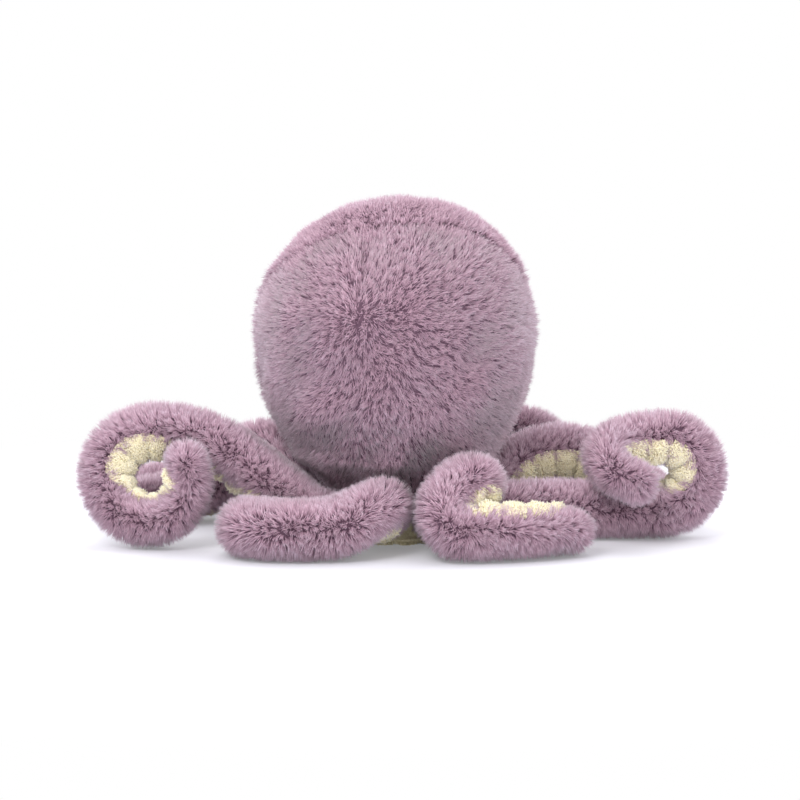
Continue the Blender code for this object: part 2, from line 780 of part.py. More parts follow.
def main():
    clear_scene()
    for name, arm in ARMS.items():
        build_arm(name, arm)
    front, stuffing = build_head()
    build_eye("left", -EYE_SPREAD, front, stuffing)
    build_eye("right", EYE_SPREAD, front, stuffing)
    build_mouth(front)
    build_base()


main()
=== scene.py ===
"""Plush octopus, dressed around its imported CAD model.

Metres, +Z up, in the CAD model's frame. The photograph looks at the toy's back, along +Y.
"""
import json
import math
import bmesh
import bpy
import numpy as np
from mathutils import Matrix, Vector


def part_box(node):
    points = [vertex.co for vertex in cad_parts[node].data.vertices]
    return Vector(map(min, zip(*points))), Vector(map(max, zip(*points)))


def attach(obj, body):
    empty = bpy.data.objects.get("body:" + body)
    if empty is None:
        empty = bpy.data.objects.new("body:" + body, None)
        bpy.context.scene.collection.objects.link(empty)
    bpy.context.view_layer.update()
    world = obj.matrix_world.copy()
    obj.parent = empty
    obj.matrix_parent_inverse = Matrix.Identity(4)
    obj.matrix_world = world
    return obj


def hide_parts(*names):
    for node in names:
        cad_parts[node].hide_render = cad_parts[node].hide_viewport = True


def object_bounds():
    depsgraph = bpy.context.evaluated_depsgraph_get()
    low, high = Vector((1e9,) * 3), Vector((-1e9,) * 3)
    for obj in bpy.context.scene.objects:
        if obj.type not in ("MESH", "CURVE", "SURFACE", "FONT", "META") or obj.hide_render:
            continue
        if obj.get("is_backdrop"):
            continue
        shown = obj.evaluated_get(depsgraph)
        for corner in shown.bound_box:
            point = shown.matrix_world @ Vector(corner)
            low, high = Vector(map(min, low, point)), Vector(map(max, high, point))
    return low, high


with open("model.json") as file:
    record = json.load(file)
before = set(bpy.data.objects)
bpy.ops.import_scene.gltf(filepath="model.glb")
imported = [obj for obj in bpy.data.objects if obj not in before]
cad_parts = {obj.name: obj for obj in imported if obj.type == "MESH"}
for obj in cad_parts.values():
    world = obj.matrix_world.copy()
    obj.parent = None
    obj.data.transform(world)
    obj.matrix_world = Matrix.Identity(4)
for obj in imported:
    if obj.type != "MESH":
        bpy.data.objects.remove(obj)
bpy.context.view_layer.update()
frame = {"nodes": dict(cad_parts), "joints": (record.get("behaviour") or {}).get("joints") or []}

# Camera. It stands behind the toy and a little above it, as in the photograph.
# It is 1.4 m away, so its lens is a long one.
CAMERA_TARGET = Vector((0.00275, 0, 0.0762))
CAMERA_DISTANCE = 1.4
CAMERA_RISE = math.radians(6)
CAMERA_LENS = 114.5
CAMERA_SENSOR = 36

camera_data = bpy.data.cameras.new("camera")
camera_data.lens = CAMERA_LENS
camera_data.sensor_width = CAMERA_SENSOR
camera = bpy.data.objects.new("camera", camera_data)
outward = Vector((0, -math.cos(CAMERA_RISE), math.sin(CAMERA_RISE)))
camera.location = CAMERA_TARGET + outward * CAMERA_DISTANCE
camera.rotation_euler = (-outward).to_track_quat("-Z", "Y").to_euler()
bpy.context.scene.collection.objects.link(camera)
bpy.context.scene.camera = camera


# Arms' pile. Long lilac pile woven into a cloth backing, cut in one panel for each arm.
# The panel wraps the arm's top and sides, and its pile stands out all round and at the tip.
FUR_HALF_ANGLE = math.radians(128)
FUR_WALL = 0.0055
FILLING_CLEARANCE = 0.0009
FILLING_TOP_ANGLE = FUR_HALF_ANGLE / 3
INNER_CORNER_EDGES = 6
DOME_RINGS = 3
DOME_STEPS = 8
DOME_END = math.radians(84)
STEPS_PER_RIB = 8
RIB_PITCH = 0.0127
CORD_DEPTH_SHARE = 0.45
NECK_END_SHARE = 0.12
PUFFED_SHARE = 0.24
NECK_FLATTEN_SHARE = 0.30
UNDERSIDE_FLATTEN_SHARE = 0.20
FLATTEN_START_SHARE = 0.15
BEND_REACH_SHARE = 0.82
TIP_CLOSE_STEPS = 10
FLOOR_LIFT = 0.0003

# How much further the fur of a rolled coil reaches on its near side, and how far the underside
# has turned upwards where that starts and where it is whole
ROLLED = {"arm_left": math.radians(46), "arm_right": math.radians(8)}
ROLLED_SLOPES = (0.05, 0.55)

PILE_DEPTH = 0.0072
PILE_OVERSHOOT = 0.0010
PILE_WIDTH = 0.00078
PILE_PER_M2 = 3.3e6
PILE_MOST = 64000
PILE_SEED = 40
LENGTH_SPREAD = (0.80, 1.14)
WIDTH_SPREAD = (0.7, 1.3)
LEAST_RISE_SHARE = 0.6
EDGE_CROWDING = 0.35
PAST_SEAM = math.radians(4)
RIB_WAVE = math.radians(5)

# How the pile lies: in slow swirls, a little towards the tip and down, and out over the seams
SWIRL_SIZE = 0.024
SWIRL_LEAN = 0.22
SWIRL_SEED = 70
TIPWARD_LEAN = 0.08
DOWNWARD_LEAN = 0.05
OVERHANG_START_SHARE = 0.84
OVERHANG = 0.55
OVERHANG_LENGTH = 0.12
DROOP = 0.25
DROOP_SLOPE = 0.8
STRAY = 0.12
BRUSH_SEED = 90

# How it clumps. The big numbers scatter one clump's centre in each cell of a grid.
CLUMP_SIZE = 0.0040
CLUMP_PULL = 0.66
WISP_SIZE = 0.0017
WISP_PULL = 0.45
CELL_MIX = np.array([[127.1, 269.5, 419.2], [311.7, 183.3, 371.9], [74.7, 246.1, 593.4]])
CELL_SCALE = 43758.5453

# How it is coloured: its tone varies by patches and from tuft to tuft, with painted shade on random
# tufts and in streaks
RIPPLE_WAVES = 6
RIPPLE_SIZES = (0.6, 1.5)
RIPPLE_PEAK = 2.5
ARM_TONE = 0.48
ARM_PATCHES = 0.18
PATCH_SIZE = 0.03
PATCH_SEED = 7
TONE_SPREAD = 0.25
RANDOM_TUFT_SHADE = 0.40
ARM_STREAK_SIZE = 0.0034
ARM_STREAK_SHADE = 0.42
STREAK_PEAK = 1.1
STREAK_SEED = 110
LEAST_LIT = 0.03

TUFT_SIDES = 3
UV_ACROSS = 0.012
UV_EDGE = 0.02


def unit(vectors):
    return vectors / np.maximum(np.linalg.norm(vectors, axis=-1, keepdims=True), 1e-12)


def smooth_step(low, high, values):
    share = np.clip((values - low) / (high - low), 0, 1)
    return share * share * (3 - 2 * share)


def welded(node):
    """A CAD node's corner points, each once, and the corners that each shares an edge with."""
    mesh = frame["nodes"][node].data
    points = np.array([vertex.co for vertex in mesh.vertices])
    keys, where = np.unique(np.round(points * 1e6).astype(int), axis=0, return_inverse=True)
    where = where.ravel()
    corners = np.zeros((len(keys), 3))
    corners[where] = points
    joined = [set() for _ in corners]
    for edge in mesh.edges:
        first, second = (int(where[index]) for index in edge.vertices)
        if first != second:
            joined[first].add(second)
            joined[second].add(first)
    return corners, joined


def layers_from(start, joined):
    """Corners in layers, each a step further along the mesh than the one before."""
    layers = [sorted(start)]
    seen = set(start)
    while True:
        ahead = {index for corner in layers[-1] for index in joined[corner]} - seen
        if not ahead:
            return layers
        layers.append(sorted(ahead))
        seen |= ahead


def arm_rings(name, hinge_place):
    """Centre, underside vector and radius at each rib's edge, from the root to the tip.

    They come from the filling's rings of corners. Only at its two ends does a corner have fewer
    edges than the inner ones.
    """
    corners, joined = welded(name + "_stuffing")
    seam_corners, _ = welded(name + "_cord")
    ends = [index for index, near in enumerate(joined) if len(near) < INNER_CORNER_EDGES]
    ends.sort(key=lambda index: np.linalg.norm(corners[index] - hinge_place))
    layers = layers_from(set(ends[:len(ends) // 2]), joined)
    centres, unders, radii = [], [], []
    for layer in layers[DOME_RINGS:-DOME_RINGS]:
        ring = corners[layer]
        to_seam = np.linalg.norm(ring[:, None] - seam_corners[None], axis=2).min(1)
        order = np.argsort(to_seam)
        low = ring[order[:2]].mean(0)
        top_pair = ring[order[2:]]
        top = top_pair.mean(0)
        half = np.linalg.norm(top_pair[1] - top_pair[0]) / 2
        under = unit(low - top)
        inner = half / math.sin(FILLING_TOP_ANGLE)
        centres.append(top + under * inner * math.cos(FILLING_TOP_ANGLE))
        unders.append(under)
        radii.append(inner + FUR_WALL + FILLING_CLEARANCE)
    return np.array(centres), np.array(unders), np.array(radii)


def curve_through(values, steps):
    """Values between the given ones, on a smooth curve through them."""
    values = np.asarray(values, float)
    ends = [2 * values[0] - values[1], 2 * values[-1] - values[-2]]
    padded = np.concatenate([ends[:1], values, ends[1:]])
    share = np.arange(steps)[:, None] / steps
    rows = []
    for index in range(len(values) - 1):
        a, b, c, d = padded[index:index + 4]
        rows.append(b + 0.5 * share * (c - a + share * (2 * a - 5 * b + 4 * c - d
                                                         + share * (3 * (b - c) + d - a))))
    return np.concatenate(rows + [values[-1:]])


class Arm:
    """An arm's form along its middle line in short steps, domed ends included."""

    def __init__(self, name):
        joint = next(joint for joint in frame["joints"] if joint["child"] == name)
        self.name = name
        centres, unders, radii = arm_rings(name, np.array(joint["pos_m"]))
        body = curve_through(centres, STEPS_PER_RIB)
        count = len(body)
        steps = np.gradient(body, axis=0)
        along = unit(steps)
        under = curve_through(unders, STEPS_PER_RIB)
        under = unit(under - along * (under * along).sum(1, keepdims=True))
        radius = curve_through(radii[:, None], STEPS_PER_RIB)[:, 0]
        tilt = np.linspace(0, DOME_END, DOME_STEPS + 1)[1:]
        index = np.concatenate([np.zeros(DOME_STEPS, int), np.arange(count),
                                np.full(DOME_STEPS, count - 1)])
        self.cap = np.concatenate([-tilt[::-1], np.zeros(count), tilt])
        self.centre = body[index]
        self.along = along[index]
        self.under = under[index]
        self.side = np.cross(self.along, self.under)
        self.radius = radius[index]
        self.bend = (np.gradient(along, axis=0) / np.linalg.norm(steps, axis=1)[:, None])[index]
        self.bend[self.cap != 0] = 0
        puffing = smooth_step(NECK_END_SHARE, PUFFED_SHARE, index / (count - 1))
        flatter = UNDERSIDE_FLATTEN_SHARE - NECK_FLATTEN_SHARE
        self.flatten = NECK_FLATTEN_SHARE + flatter * puffing
        sewn = body + under * radius[:, None] * CORD_DEPTH_SHARE
        length = np.concatenate([[0], np.cumsum(np.linalg.norm(np.diff(sewn, axis=0), axis=1))])
        self.rib = (length / length[-1] * round(length[-1] / RIB_PITCH))[index]

    def at(self, place, angle, reach):
        """Points, normals and ways along, at fractional steps, angles and radii."""
        low = np.clip(np.floor(place).astype(int), 0, len(self.cap) - 2)
        share = (place - low)[:, None]

        def read(rows):
            rows = rows if rows.ndim > 1 else rows[:, None]
            return rows[low] * (1 - share) + rows[low + 1] * share

        along = unit(read(self.along))
        under = unit(read(self.under))
        side = np.cross(along, under)
        cap = read(self.cap)
        radius = read(self.radius)
        turned = smooth_step(-FLATTEN_START_SHARE, 1, -np.cos(angle))[:, None]
        radial = side * np.sin(angle)[:, None] - under * np.cos(angle)[:, None]
        normal = radial * np.cos(cap) + along * np.sin(cap)
        full = radius * (1 - read(self.flatten) * turned) + reach[:, None]
        inward = (read(self.bend) * radial).sum(1, keepdims=True) * full
        inward = np.maximum(inward, BEND_REACH_SHARE)
        full = full * BEND_REACH_SHARE / inward
        deep = radius + reach[:, None]
        point = read(self.centre) + radial * full * np.cos(cap) + along * deep * np.sin(cap)
        return point, normal, along

    def seam_angle(self, place, way):
        """How far round from its top the fur reaches, on the side that way's sign tells.

        It closes over the underside at the tip, and in a rolled coil it covers its near side.
        """
        left = (len(self.cap) - 1 - DOME_STEPS - place) / TIP_CLOSE_STEPS
        closing = smooth_step(0, 1, 1 - left)
        low = np.clip(np.asarray(place).astype(int), 0, len(self.cap) - 1)
        near = np.sign(way) * self.side[low, 1] < 0
        rolled = ROLLED.get(self.name, 0) * near
        rolled = rolled * smooth_step(*ROLLED_SLOPES, self.under[low, 2])
        open_angle = FUR_HALF_ANGLE + rolled
        return open_angle + (math.pi - open_angle) * closing

    def scatter(self, half_angle, per_m2, most, dice):
        """Random places along the arm, by its area, and how far each lies across the panel."""
        middle = self.centre + self.along * (self.radius * np.sin(self.cap))[:, None]
        length = np.linalg.norm(np.diff(middle, axis=0), axis=1)
        width = self.radius * np.cos(self.cap)
        area = length * (width[1:] + width[:-1]) / 2
        count = int(min(area.sum() * 2 * half_angle * per_m2, most) * density)
        place = dice.choice(len(area), size=count, p=area / area.sum()) + dice.random(count)
        return place, dice.uniform(-1, 1, count)


def above_floor(*sets):
    """Lifts the points that would lie below the floor."""
    for points in sets:
        points[:, 2] = np.maximum(points[:, 2], FLOOR_LIFT)


def ripple(points, size, seed):
    """Smooth random values from about -1 to 1, with bumps of about the given size."""
    dice = np.random.default_rng(seed)
    total = np.zeros(len(points))
    for _ in range(RIPPLE_WAVES):
        way = unit(dice.normal(size=3))
        rate = 2 * math.pi / size * dice.uniform(*RIPPLE_SIZES)
        total += np.sin(points @ way * rate + dice.uniform(0, 2 * math.pi))
    return total / RIPPLE_PEAK


def drift(points, size, seed):
    """Smooth random vectors."""
    return np.stack([ripple(points, size, seed + axis) for axis in range(3)], axis=1)


def to_clump(points, size, seed):
    """The vector from each point to the nearest of a set of scattered clump centres."""
    cell = np.floor(points / size)
    best = np.full(len(points), 1e9)
    answer = np.zeros_like(points)
    for shift in np.ndindex(3, 3, 3):
        near = cell + np.array(shift) - 1
        jitter = np.abs(np.sin(near @ CELL_MIX + seed) * CELL_SCALE) % 1
        away = (near + jitter) * size - points
        length = (away ** 2).sum(1)
        closer = length < best
        best[closer] = length[closer]
        answer[closer] = away[closer]
    return answer


def streak_shade(tips, size, depth, seed):
    """Painted shade in streaks, darker as where the pile parts and its roots lie in shade."""
    return 1 - depth * smooth_step(0, STREAK_PEAK, ripple(tips, size, seed))


def tuft_mesh(name, rings, tips, tones, lit):
    """Three-sided tufts. Each ring is its tufts' centres and widths there, from root to tip.

    Tones run from plain to pale, and lit runs from painted shade in the root's colour to fully
    coloured.
    """
    count = len(tips)
    levels = len(rings)
    corners_each = TUFT_SIDES * levels + 1
    dice = np.random.default_rng(len(name))
    axis = unit(tips - rings[0][0])
    first = unit(np.cross(axis, dice.normal(size=(count, 3))))
    second = np.cross(axis, first)
    corners = np.empty((count, corners_each, 3))
    for level, (centres, widths) in enumerate(rings):
        for corner in range(TUFT_SIDES):
            angle = corner * 2 * math.pi / TUFT_SIDES
            away = (first * math.cos(angle) + second * math.sin(angle)) * widths[:, None] / 2
            corners[:, TUFT_SIDES * level + corner] = centres + away
    corners[:, -1] = tips
    pattern, sizes = [], []
    for low in range(0, TUFT_SIDES * levels, TUFT_SIDES):
        for corner in range(TUFT_SIDES):
            near, after = low + corner, low + (corner + 1) % TUFT_SIDES
            if low == TUFT_SIDES * (levels - 1):
                face = (near, after, corners_each - 1)
            else:
                face = (near, after, after + TUFT_SIDES, near + TUFT_SIDES)
            pattern += face
            sizes.append(len(face))
    pattern = np.array(pattern)
    loops = (np.arange(count)[:, None] * corners_each + pattern[None]).ravel()
    totals = np.tile(sizes, count)
    mesh = bpy.data.meshes.new(name)
    mesh.vertices.add(count * corners_each)
    mesh.vertices.foreach_set("co", corners.ravel())
    mesh.loops.add(len(loops))
    mesh.loops.foreach_set("vertex_index", loops)
    mesh.polygons.add(len(totals))
    mesh.polygons.foreach_set("loop_start", np.concatenate([[0], np.cumsum(totals)[:-1]]))
    mesh.polygons.foreach_set("use_smooth", np.ones(len(totals), bool))
    mesh.update(calc_edges=True)
    across = np.array([-1, 0, 1] * levels + [0]) * UV_ACROSS
    height = np.append(np.repeat(np.arange(levels) / levels, TUFT_SIDES), 1)
    shown = mesh.uv_layers.new(name="OFBake")
    uv = np.empty((count, len(pattern), 2))
    tones = np.clip(UV_EDGE + (1 - 2 * UV_EDGE) * tones, 2 * UV_ACROSS, 1 - 2 * UV_ACROSS)
    uv[:, :, 0] = tones[:, None]
    uv[:, :, 0] += across[pattern][None]
    lit = np.clip(lit, LEAST_LIT, 1)[:, None]
    uv[:, :, 1] = UV_EDGE + (1 - 2 * UV_EDGE) * height[pattern][None] * lit
    shown.data.foreach_set("uv", uv.ravel())
    return mesh


def add(mesh, material, body):
    mesh.materials.append(material)
    piece = bpy.data.objects.new(mesh.name, mesh)
    bpy.context.scene.collection.objects.link(piece)
    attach(piece, body)
    return piece


def across_only(vectors, normals):
    return vectors - normals * (vectors * normals).sum(1, keepdims=True)


def brushed(points, normals, lean, depth, reach, width, unruly, seed):
    """Roots, tips and widths of pile that stands on its backing, then leans and clumps."""
    dice = np.random.default_rng(seed)
    count = len(points)
    long = depth * dice.uniform(*LENGTH_SPREAD, count) + reach
    clump = across_only(to_clump(points, CLUMP_SIZE, seed), normals) * CLUMP_PULL
    clump += across_only(to_clump(points, WISP_SIZE, seed + 5), normals) * WISP_PULL
    stray = dice.normal(size=(count, 3)) * unruly
    bend = across_only((lean + stray) * long[:, None], normals) + clump
    least = (LEAST_RISE_SHARE * long) ** 2
    rise = np.sqrt(np.maximum(long ** 2 - (bend ** 2).sum(1), least))
    roots = points - normals * depth
    tips = roots + normals * rise[:, None] + bend
    widths = width * dice.uniform(*WIDTH_SPREAD, count)
    return roots, tips, widths


PILE_SPECULAR = 0.2
SHEEN_ROUGHNESS = 0.45
SHADE_LEVEL = 0.04
ROOT_LEVEL = 0.15
MIDDLE_LEVEL = 0.55
TIP_LEVEL = 0.95
# The colour mix node's two colours in, and its colour out
MIX_FIRST, MIX_SECOND, MIX_RESULT = 6, 7, 2


def new_material(name):
    """A material, and its nodes, links and shader."""
    material = bpy.data.materials.new(name)
    material.use_nodes = True
    tree = material.node_tree
    return material, tree.nodes, tree.links, tree.nodes["Principled BSDF"]


def pile_material(name, shade, root, middle, tip, pale, roughness, sheen):
    """Pile whose colour runs from painted shade at its root to its tip, and varies from tuft to
    tuft.
    """
    material, nodes, links, shader = new_material(name)
    shader.inputs["Roughness"].default_value = roughness
    shader.inputs["Specular IOR Level"].default_value = PILE_SPECULAR
    shader.inputs["Sheen Weight"].default_value = sheen
    shader.inputs["Sheen Roughness"].default_value = SHEEN_ROUGHNESS
    place = nodes.new("ShaderNodeUVMap")
    place.uv_map = "OFBake"
    split = nodes.new("ShaderNodeSeparateXYZ")
    links.new(place.outputs["UV"], split.inputs["Vector"])
    plain = nodes.new("ShaderNodeValToRGB")
    fair = nodes.new("ShaderNodeValToRGB")
    for ramp, last in ((plain, tip), (fair, pale)):
        stops = ramp.color_ramp.elements
        stops[0].color = (*shade, 1)
        stops[0].position = SHADE_LEVEL
        stops[1].color = (*last, 1)
        stops[1].position = TIP_LEVEL
        for level, colour in ((ROOT_LEVEL, root), (MIDDLE_LEVEL, middle)):
            stops.new(level).color = (*colour, 1)
        links.new(split.outputs["Y"], ramp.inputs["Fac"])
    mix = nodes.new("ShaderNodeMix")
    mix.data_type = "RGBA"
    links.new(split.outputs["X"], mix.inputs["Factor"])
    links.new(plain.outputs["Color"], mix.inputs[MIX_FIRST])
    links.new(fair.outputs["Color"], mix.inputs[MIX_SECOND])
    links.new(mix.outputs[MIX_RESULT], shader.inputs["Base Color"])
    return material


# Lilac pile colours. The shade and root stops are painted shade: the pile darkens from tip to root,
# as the shade between the tufts.
LILAC_SHADE = (0.10, 0.05, 0.075)
LILAC_ROOT = (0.245, 0.140, 0.190)
LILAC_MIDDLE = (0.59, 0.385, 0.475)
LILAC_TIP = (0.83, 0.58, 0.68)
LILAC_PALE = (0.95, 0.86, 0.98)
lilac_pile = pile_material("lilac_pile", LILAC_SHADE, LILAC_ROOT, LILAC_MIDDLE, LILAC_TIP,
                           LILAC_PALE, roughness=0.8, sheen=0.3)

density = 1.0
arms = [Arm(joint["child"]) for joint in frame["joints"]]
for number, arm in enumerate(arms):
    dice = np.random.default_rng(PILE_SEED + number)
    step, share = arm.scatter(FUR_HALF_ANGLE, PILE_PER_M2, PILE_MOST, dice)
    share = share * (1 + EDGE_CROWDING * (1 - np.abs(share)))
    seam = arm.seam_angle(step, share)
    waves = np.cos(2 * math.pi * np.interp(step, np.arange(len(arm.rib)), arm.rib))
    angle = share * np.minimum(seam + PAST_SEAM + RIB_WAVE * waves, math.pi)
    points, normals, along = arm.at(step, angle, np.zeros(len(step)))
    lean = drift(points, SWIRL_SIZE, SWIRL_SEED + number) * SWIRL_LEAN + along * TIPWARD_LEAN
    lean = lean + np.array([0, 0, -DOWNWARD_LEAN])
    near_seam = smooth_step(OVERHANG_START_SHARE, 1, np.abs(share))
    near_seam *= (math.pi - seam) / (math.pi - FUR_HALF_ANGLE)
    droop = 1 + DROOP * smooth_step(0, DROOP_SLOPE, arm.under[step.astype(int), 2])
    lean += np.cross(normals, along) * (np.sign(angle) * near_seam * droop * OVERHANG)[:, None]
    roots, tips, widths = brushed(points, normals, lean, PILE_DEPTH, PILE_OVERSHOOT, PILE_WIDTH,
                                  STRAY, BRUSH_SEED + number)
    tips += (tips - roots) * (near_seam * droop * OVERHANG_LENGTH)[:, None]
    above_floor(roots, tips)
    tones = ARM_TONE + ARM_PATCHES * ripple(points, PATCH_SIZE, PATCH_SEED)
    tones = tones + dice.normal(size=len(step)) * TONE_SPREAD
    # Painted shade on random tufts and in streaks
    lit = 1 - RANDOM_TUFT_SHADE * dice.random(len(step)) ** 2
    lit = lit * streak_shade(tips, ARM_STREAK_SIZE, ARM_STREAK_SHADE, STREAK_SEED + number)
    mesh = tuft_mesh(arm.name + "_pile", [(roots, widths)], tips, tones, lit)
    pile = add(mesh, lilac_pile, arm.name)
    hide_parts(arm.name + "_fur")


# Arms' backing and filling. A tube of backing cloth, stuffed with fibre until it is round.
# It is sewn to the cord panel along both sides. Its dark colour is painted shade between the tufts.
BACKING_DEPTH = 0.0050
BACKING_SIDES = 40
BACKING_SHADE_DARK = (0.085, 0.048, 0.070)
BACKING_SHADE_LIGHT = (0.14, 0.080, 0.112)
BACKING_WEAVE = 0.0015
CLOTH_SPECULAR = 0.15
CLOTH_DETAIL = 3
CLOTH_LEVELS = (0.3, 0.7)
CLOTH_BUMP = 0.4


def mottle(nodes, links, shader, scale, dark, light, levels):
    """Colours the piece from dark to light with noise in its own coordinates."""
    noise = nodes.new("ShaderNodeTexNoise")
    noise.inputs["Scale"].default_value = scale
    place = nodes.new("ShaderNodeTexCoord")
    links.new(place.outputs["Object"], noise.inputs["Vector"])
    ramp = nodes.new("ShaderNodeValToRGB")
    for index, colour in enumerate((dark, light)):
        ramp.color_ramp.elements[index].color = (*colour, 1)
        ramp.color_ramp.elements[index].position = levels[index]
    links.new(noise.outputs["Fac"], ramp.inputs["Fac"])
    links.new(ramp.outputs["Color"], shader.inputs["Base Color"])
    return noise


def cloth_material(name, dark, light, size, roughness):
    """Cloth whose weave, of the given size, varies its colour and roughens it."""
    material, nodes, links, shader = new_material(name)
    shader.inputs["Roughness"].default_value = roughness
    shader.inputs["Specular IOR Level"].default_value = CLOTH_SPECULAR
    noise = mottle(nodes, links, shader, 1 / size, dark, light, CLOTH_LEVELS)
    noise.inputs["Detail"].default_value = CLOTH_DETAIL
    bump = nodes.new("ShaderNodeBump")
    bump.inputs["Strength"].default_value = CLOTH_BUMP
    bump.inputs["Distance"].default_value = size / 4
    links.new(noise.outputs["Fac"], bump.inputs["Height"])
    links.new(bump.outputs["Normal"], shader.inputs["Normal"])
    return material


def tube_faces(levels, count, base=0):
    """The four-cornered faces between rings of corners that follow one another."""
    faces = []
    for level in range(levels - 1):
        low, high = base + level * count, base + (level + 1) * count
        for index in range(count):
            after = (index + 1) % count
            faces.append((low + index, low + after, high + after, high + index))
    return faces


def solid_mesh(name, points, faces):
    """A smooth closed mesh with all its faces turned outwards."""
    mesh = bpy.data.meshes.new(name)
    mesh.from_pydata(points.tolist(), [], faces)
    work = bmesh.new()
    work.from_mesh(mesh)
    bmesh.ops.recalc_face_normals(work, faces=work.faces)
    work.to_mesh(mesh)
    work.free()
    mesh.shade_smooth()
    return mesh


def wrapped_mesh(name, rings):
    """A closed smooth solid over a stack of rings, with a point at the middle of each end."""
    levels, count, _ = rings.shape
    ends = [rings[0].mean(0)[None], rings[-1].mean(0)[None]]
    faces = tube_faces(levels, count)
    top = (levels - 1) * count
    for index in range(count):
        after = (index + 1) % count
        faces.append((after, index, levels * count))
        faces.append((top + index, top + after, levels * count + 1))
    return solid_mesh(name, np.concatenate([rings.reshape(-1, 3)] + ends), faces)


backing = cloth_material("backing_painted_shade", BACKING_SHADE_DARK, BACKING_SHADE_LIGHT, BACKING_WEAVE, roughness=0.9)
for arm in arms:
    angles = np.linspace(-math.pi, math.pi, BACKING_SIDES + 1)[:-1]
    rows = []
    for place in range(len(arm.cap)):
        places = np.full(BACKING_SIDES, place, float)
        ring, _, _ = arm.at(places, angles, np.full(BACKING_SIDES, -BACKING_DEPTH))
        above_floor(ring)
        rows.append(ring)
    mesh = wrapped_mesh(arm.name + "_backing", np.array(rows))
    hide = add(mesh, backing, arm.name)
    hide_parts(arm.name + "_stuffing")


# Arms' ribs. A strip of cream cord pile sewn between the edges of the fur, on the underside.
# Each of its crosswise ribs is puffed by the filling, and its pile is short and nubby.
RIB_EDGE_ANGLE = math.radians(6)
RIB_STAND = 0.0006
RIB_GROOVE = 0.0060
RIB_STEPS_ACROSS = 20
RIB_THICKNESS = 0.003
RIB_FOLD_SHARE = 0.93
PUFF_POWER = 2.6
EDGE_POWER = 3
NUB_LENGTH = 0.0015
NUB_WIDTH = 0.0010
NUB_SINK = 0.0005
NUB_LEAN = 0.35
NUB_LENGTH_SPREAD = (0.7, 1.25)
NUB_WIDTH_SPREAD = (0.75, 1.2)
NUB_FOOT_SHARE = 0.7
NUB_BELLY_SHARE = 1.15
NUB_BELLY_PLACE = 0.6
NUB_TILT_MOST = 1.2
NUB_TONE = 0.45
NUB_PATCHES = 0.2
NUB_PATCH_SIZE = 0.006
NUB_PATCH_SEED = 9
NUB_TONE_SPREAD = 0.2
NUBS_PER_M2 = 3.4e6
NUB_MOST = 21000
NUB_SEED = 140


def rib_phase(arm, place):
    """From 0 at the middle of a rib to 1 in the fold beside it."""
    rib = np.interp(place, np.arange(len(arm.rib)), arm.rib)
    return np.abs((rib % 1) - 0.5) * 2


def rib_reach(arm, place, angle):
    """How far the ribbed strip stands out from the arm's section, rib by rib."""
    phase = rib_phase(arm, place)
    way = math.pi - angle
    across = way / np.maximum(math.pi - arm.seam_angle(place, way), 1e-3)
    puff = np.sqrt(np.clip(1 - phase ** PUFF_POWER, 0, 1))
    edge = np.clip(1 - np.abs(across) ** EDGE_POWER, 0, 1) ** 0.5
    return RIB_STAND + RIB_GROOVE * (puff * edge - 1)


def rib_grid(arm, extra):
    """Rows of points across the strip, from its root to where the fur closes over it."""
    end = len(arm.cap) - DOME_STEPS - TIP_CLOSE_STEPS // 3
    places = np.arange(DOME_STEPS // 2, end).astype(float)
    place = np.repeat(places, RIB_STEPS_ACROSS)
    share = np.tile(np.linspace(-1, 1, RIB_STEPS_ACROSS), len(places))
    tuck = RIB_EDGE_ANGLE * smooth_step(0, 1, places[-1] - place)
    angle = math.pi + share * (math.pi - arm.seam_angle(place, -share) - tuck)
    points, _, _ = arm.at(place, angle, rib_reach(arm, place, angle) + extra)
    above_floor(points)
    return points.reshape(len(places), RIB_STEPS_ACROSS, 3)


def rib_strip(name, arm):
    """The strip as a closed quilt: its ribbed face, its back, and the edge round both."""
    face = rib_grid(arm, 0)
    back = rib_grid(arm, -RIB_THICKNESS)
    rings = np.concatenate([face, back[:, ::-1]], axis=1)
    return wrapped_mesh(name, rings)


def nub_mesh(name, points, normals, dice):
    """Stubby rounded knots of yarn that stand close together on the cloth."""
    count = len(points)
    lean = dice.normal(size=(count, 3)) * NUB_LEAN
    long = NUB_LENGTH * dice.uniform(*NUB_LENGTH_SPREAD, count)[:, None]
    widths = NUB_WIDTH * dice.uniform(*NUB_WIDTH_SPREAD, count)
    roots = points - normals * NUB_SINK
    bellies = points + (normals + lean * NUB_BELLY_PLACE) * long * NUB_BELLY_PLACE
    tips = points + (normals + lean) * long
    above_floor(roots, bellies, tips)
    rings = [(roots, widths * NUB_FOOT_SHARE), (bellies, widths * NUB_BELLY_SHARE)]
    tones = NUB_TONE + NUB_PATCHES * ripple(points, NUB_PATCH_SIZE, NUB_PATCH_SEED)
    tones = tones + dice.normal(size=count) * NUB_TONE_SPREAD
    return tuft_mesh(name, rings, tips, tones, np.ones(count))
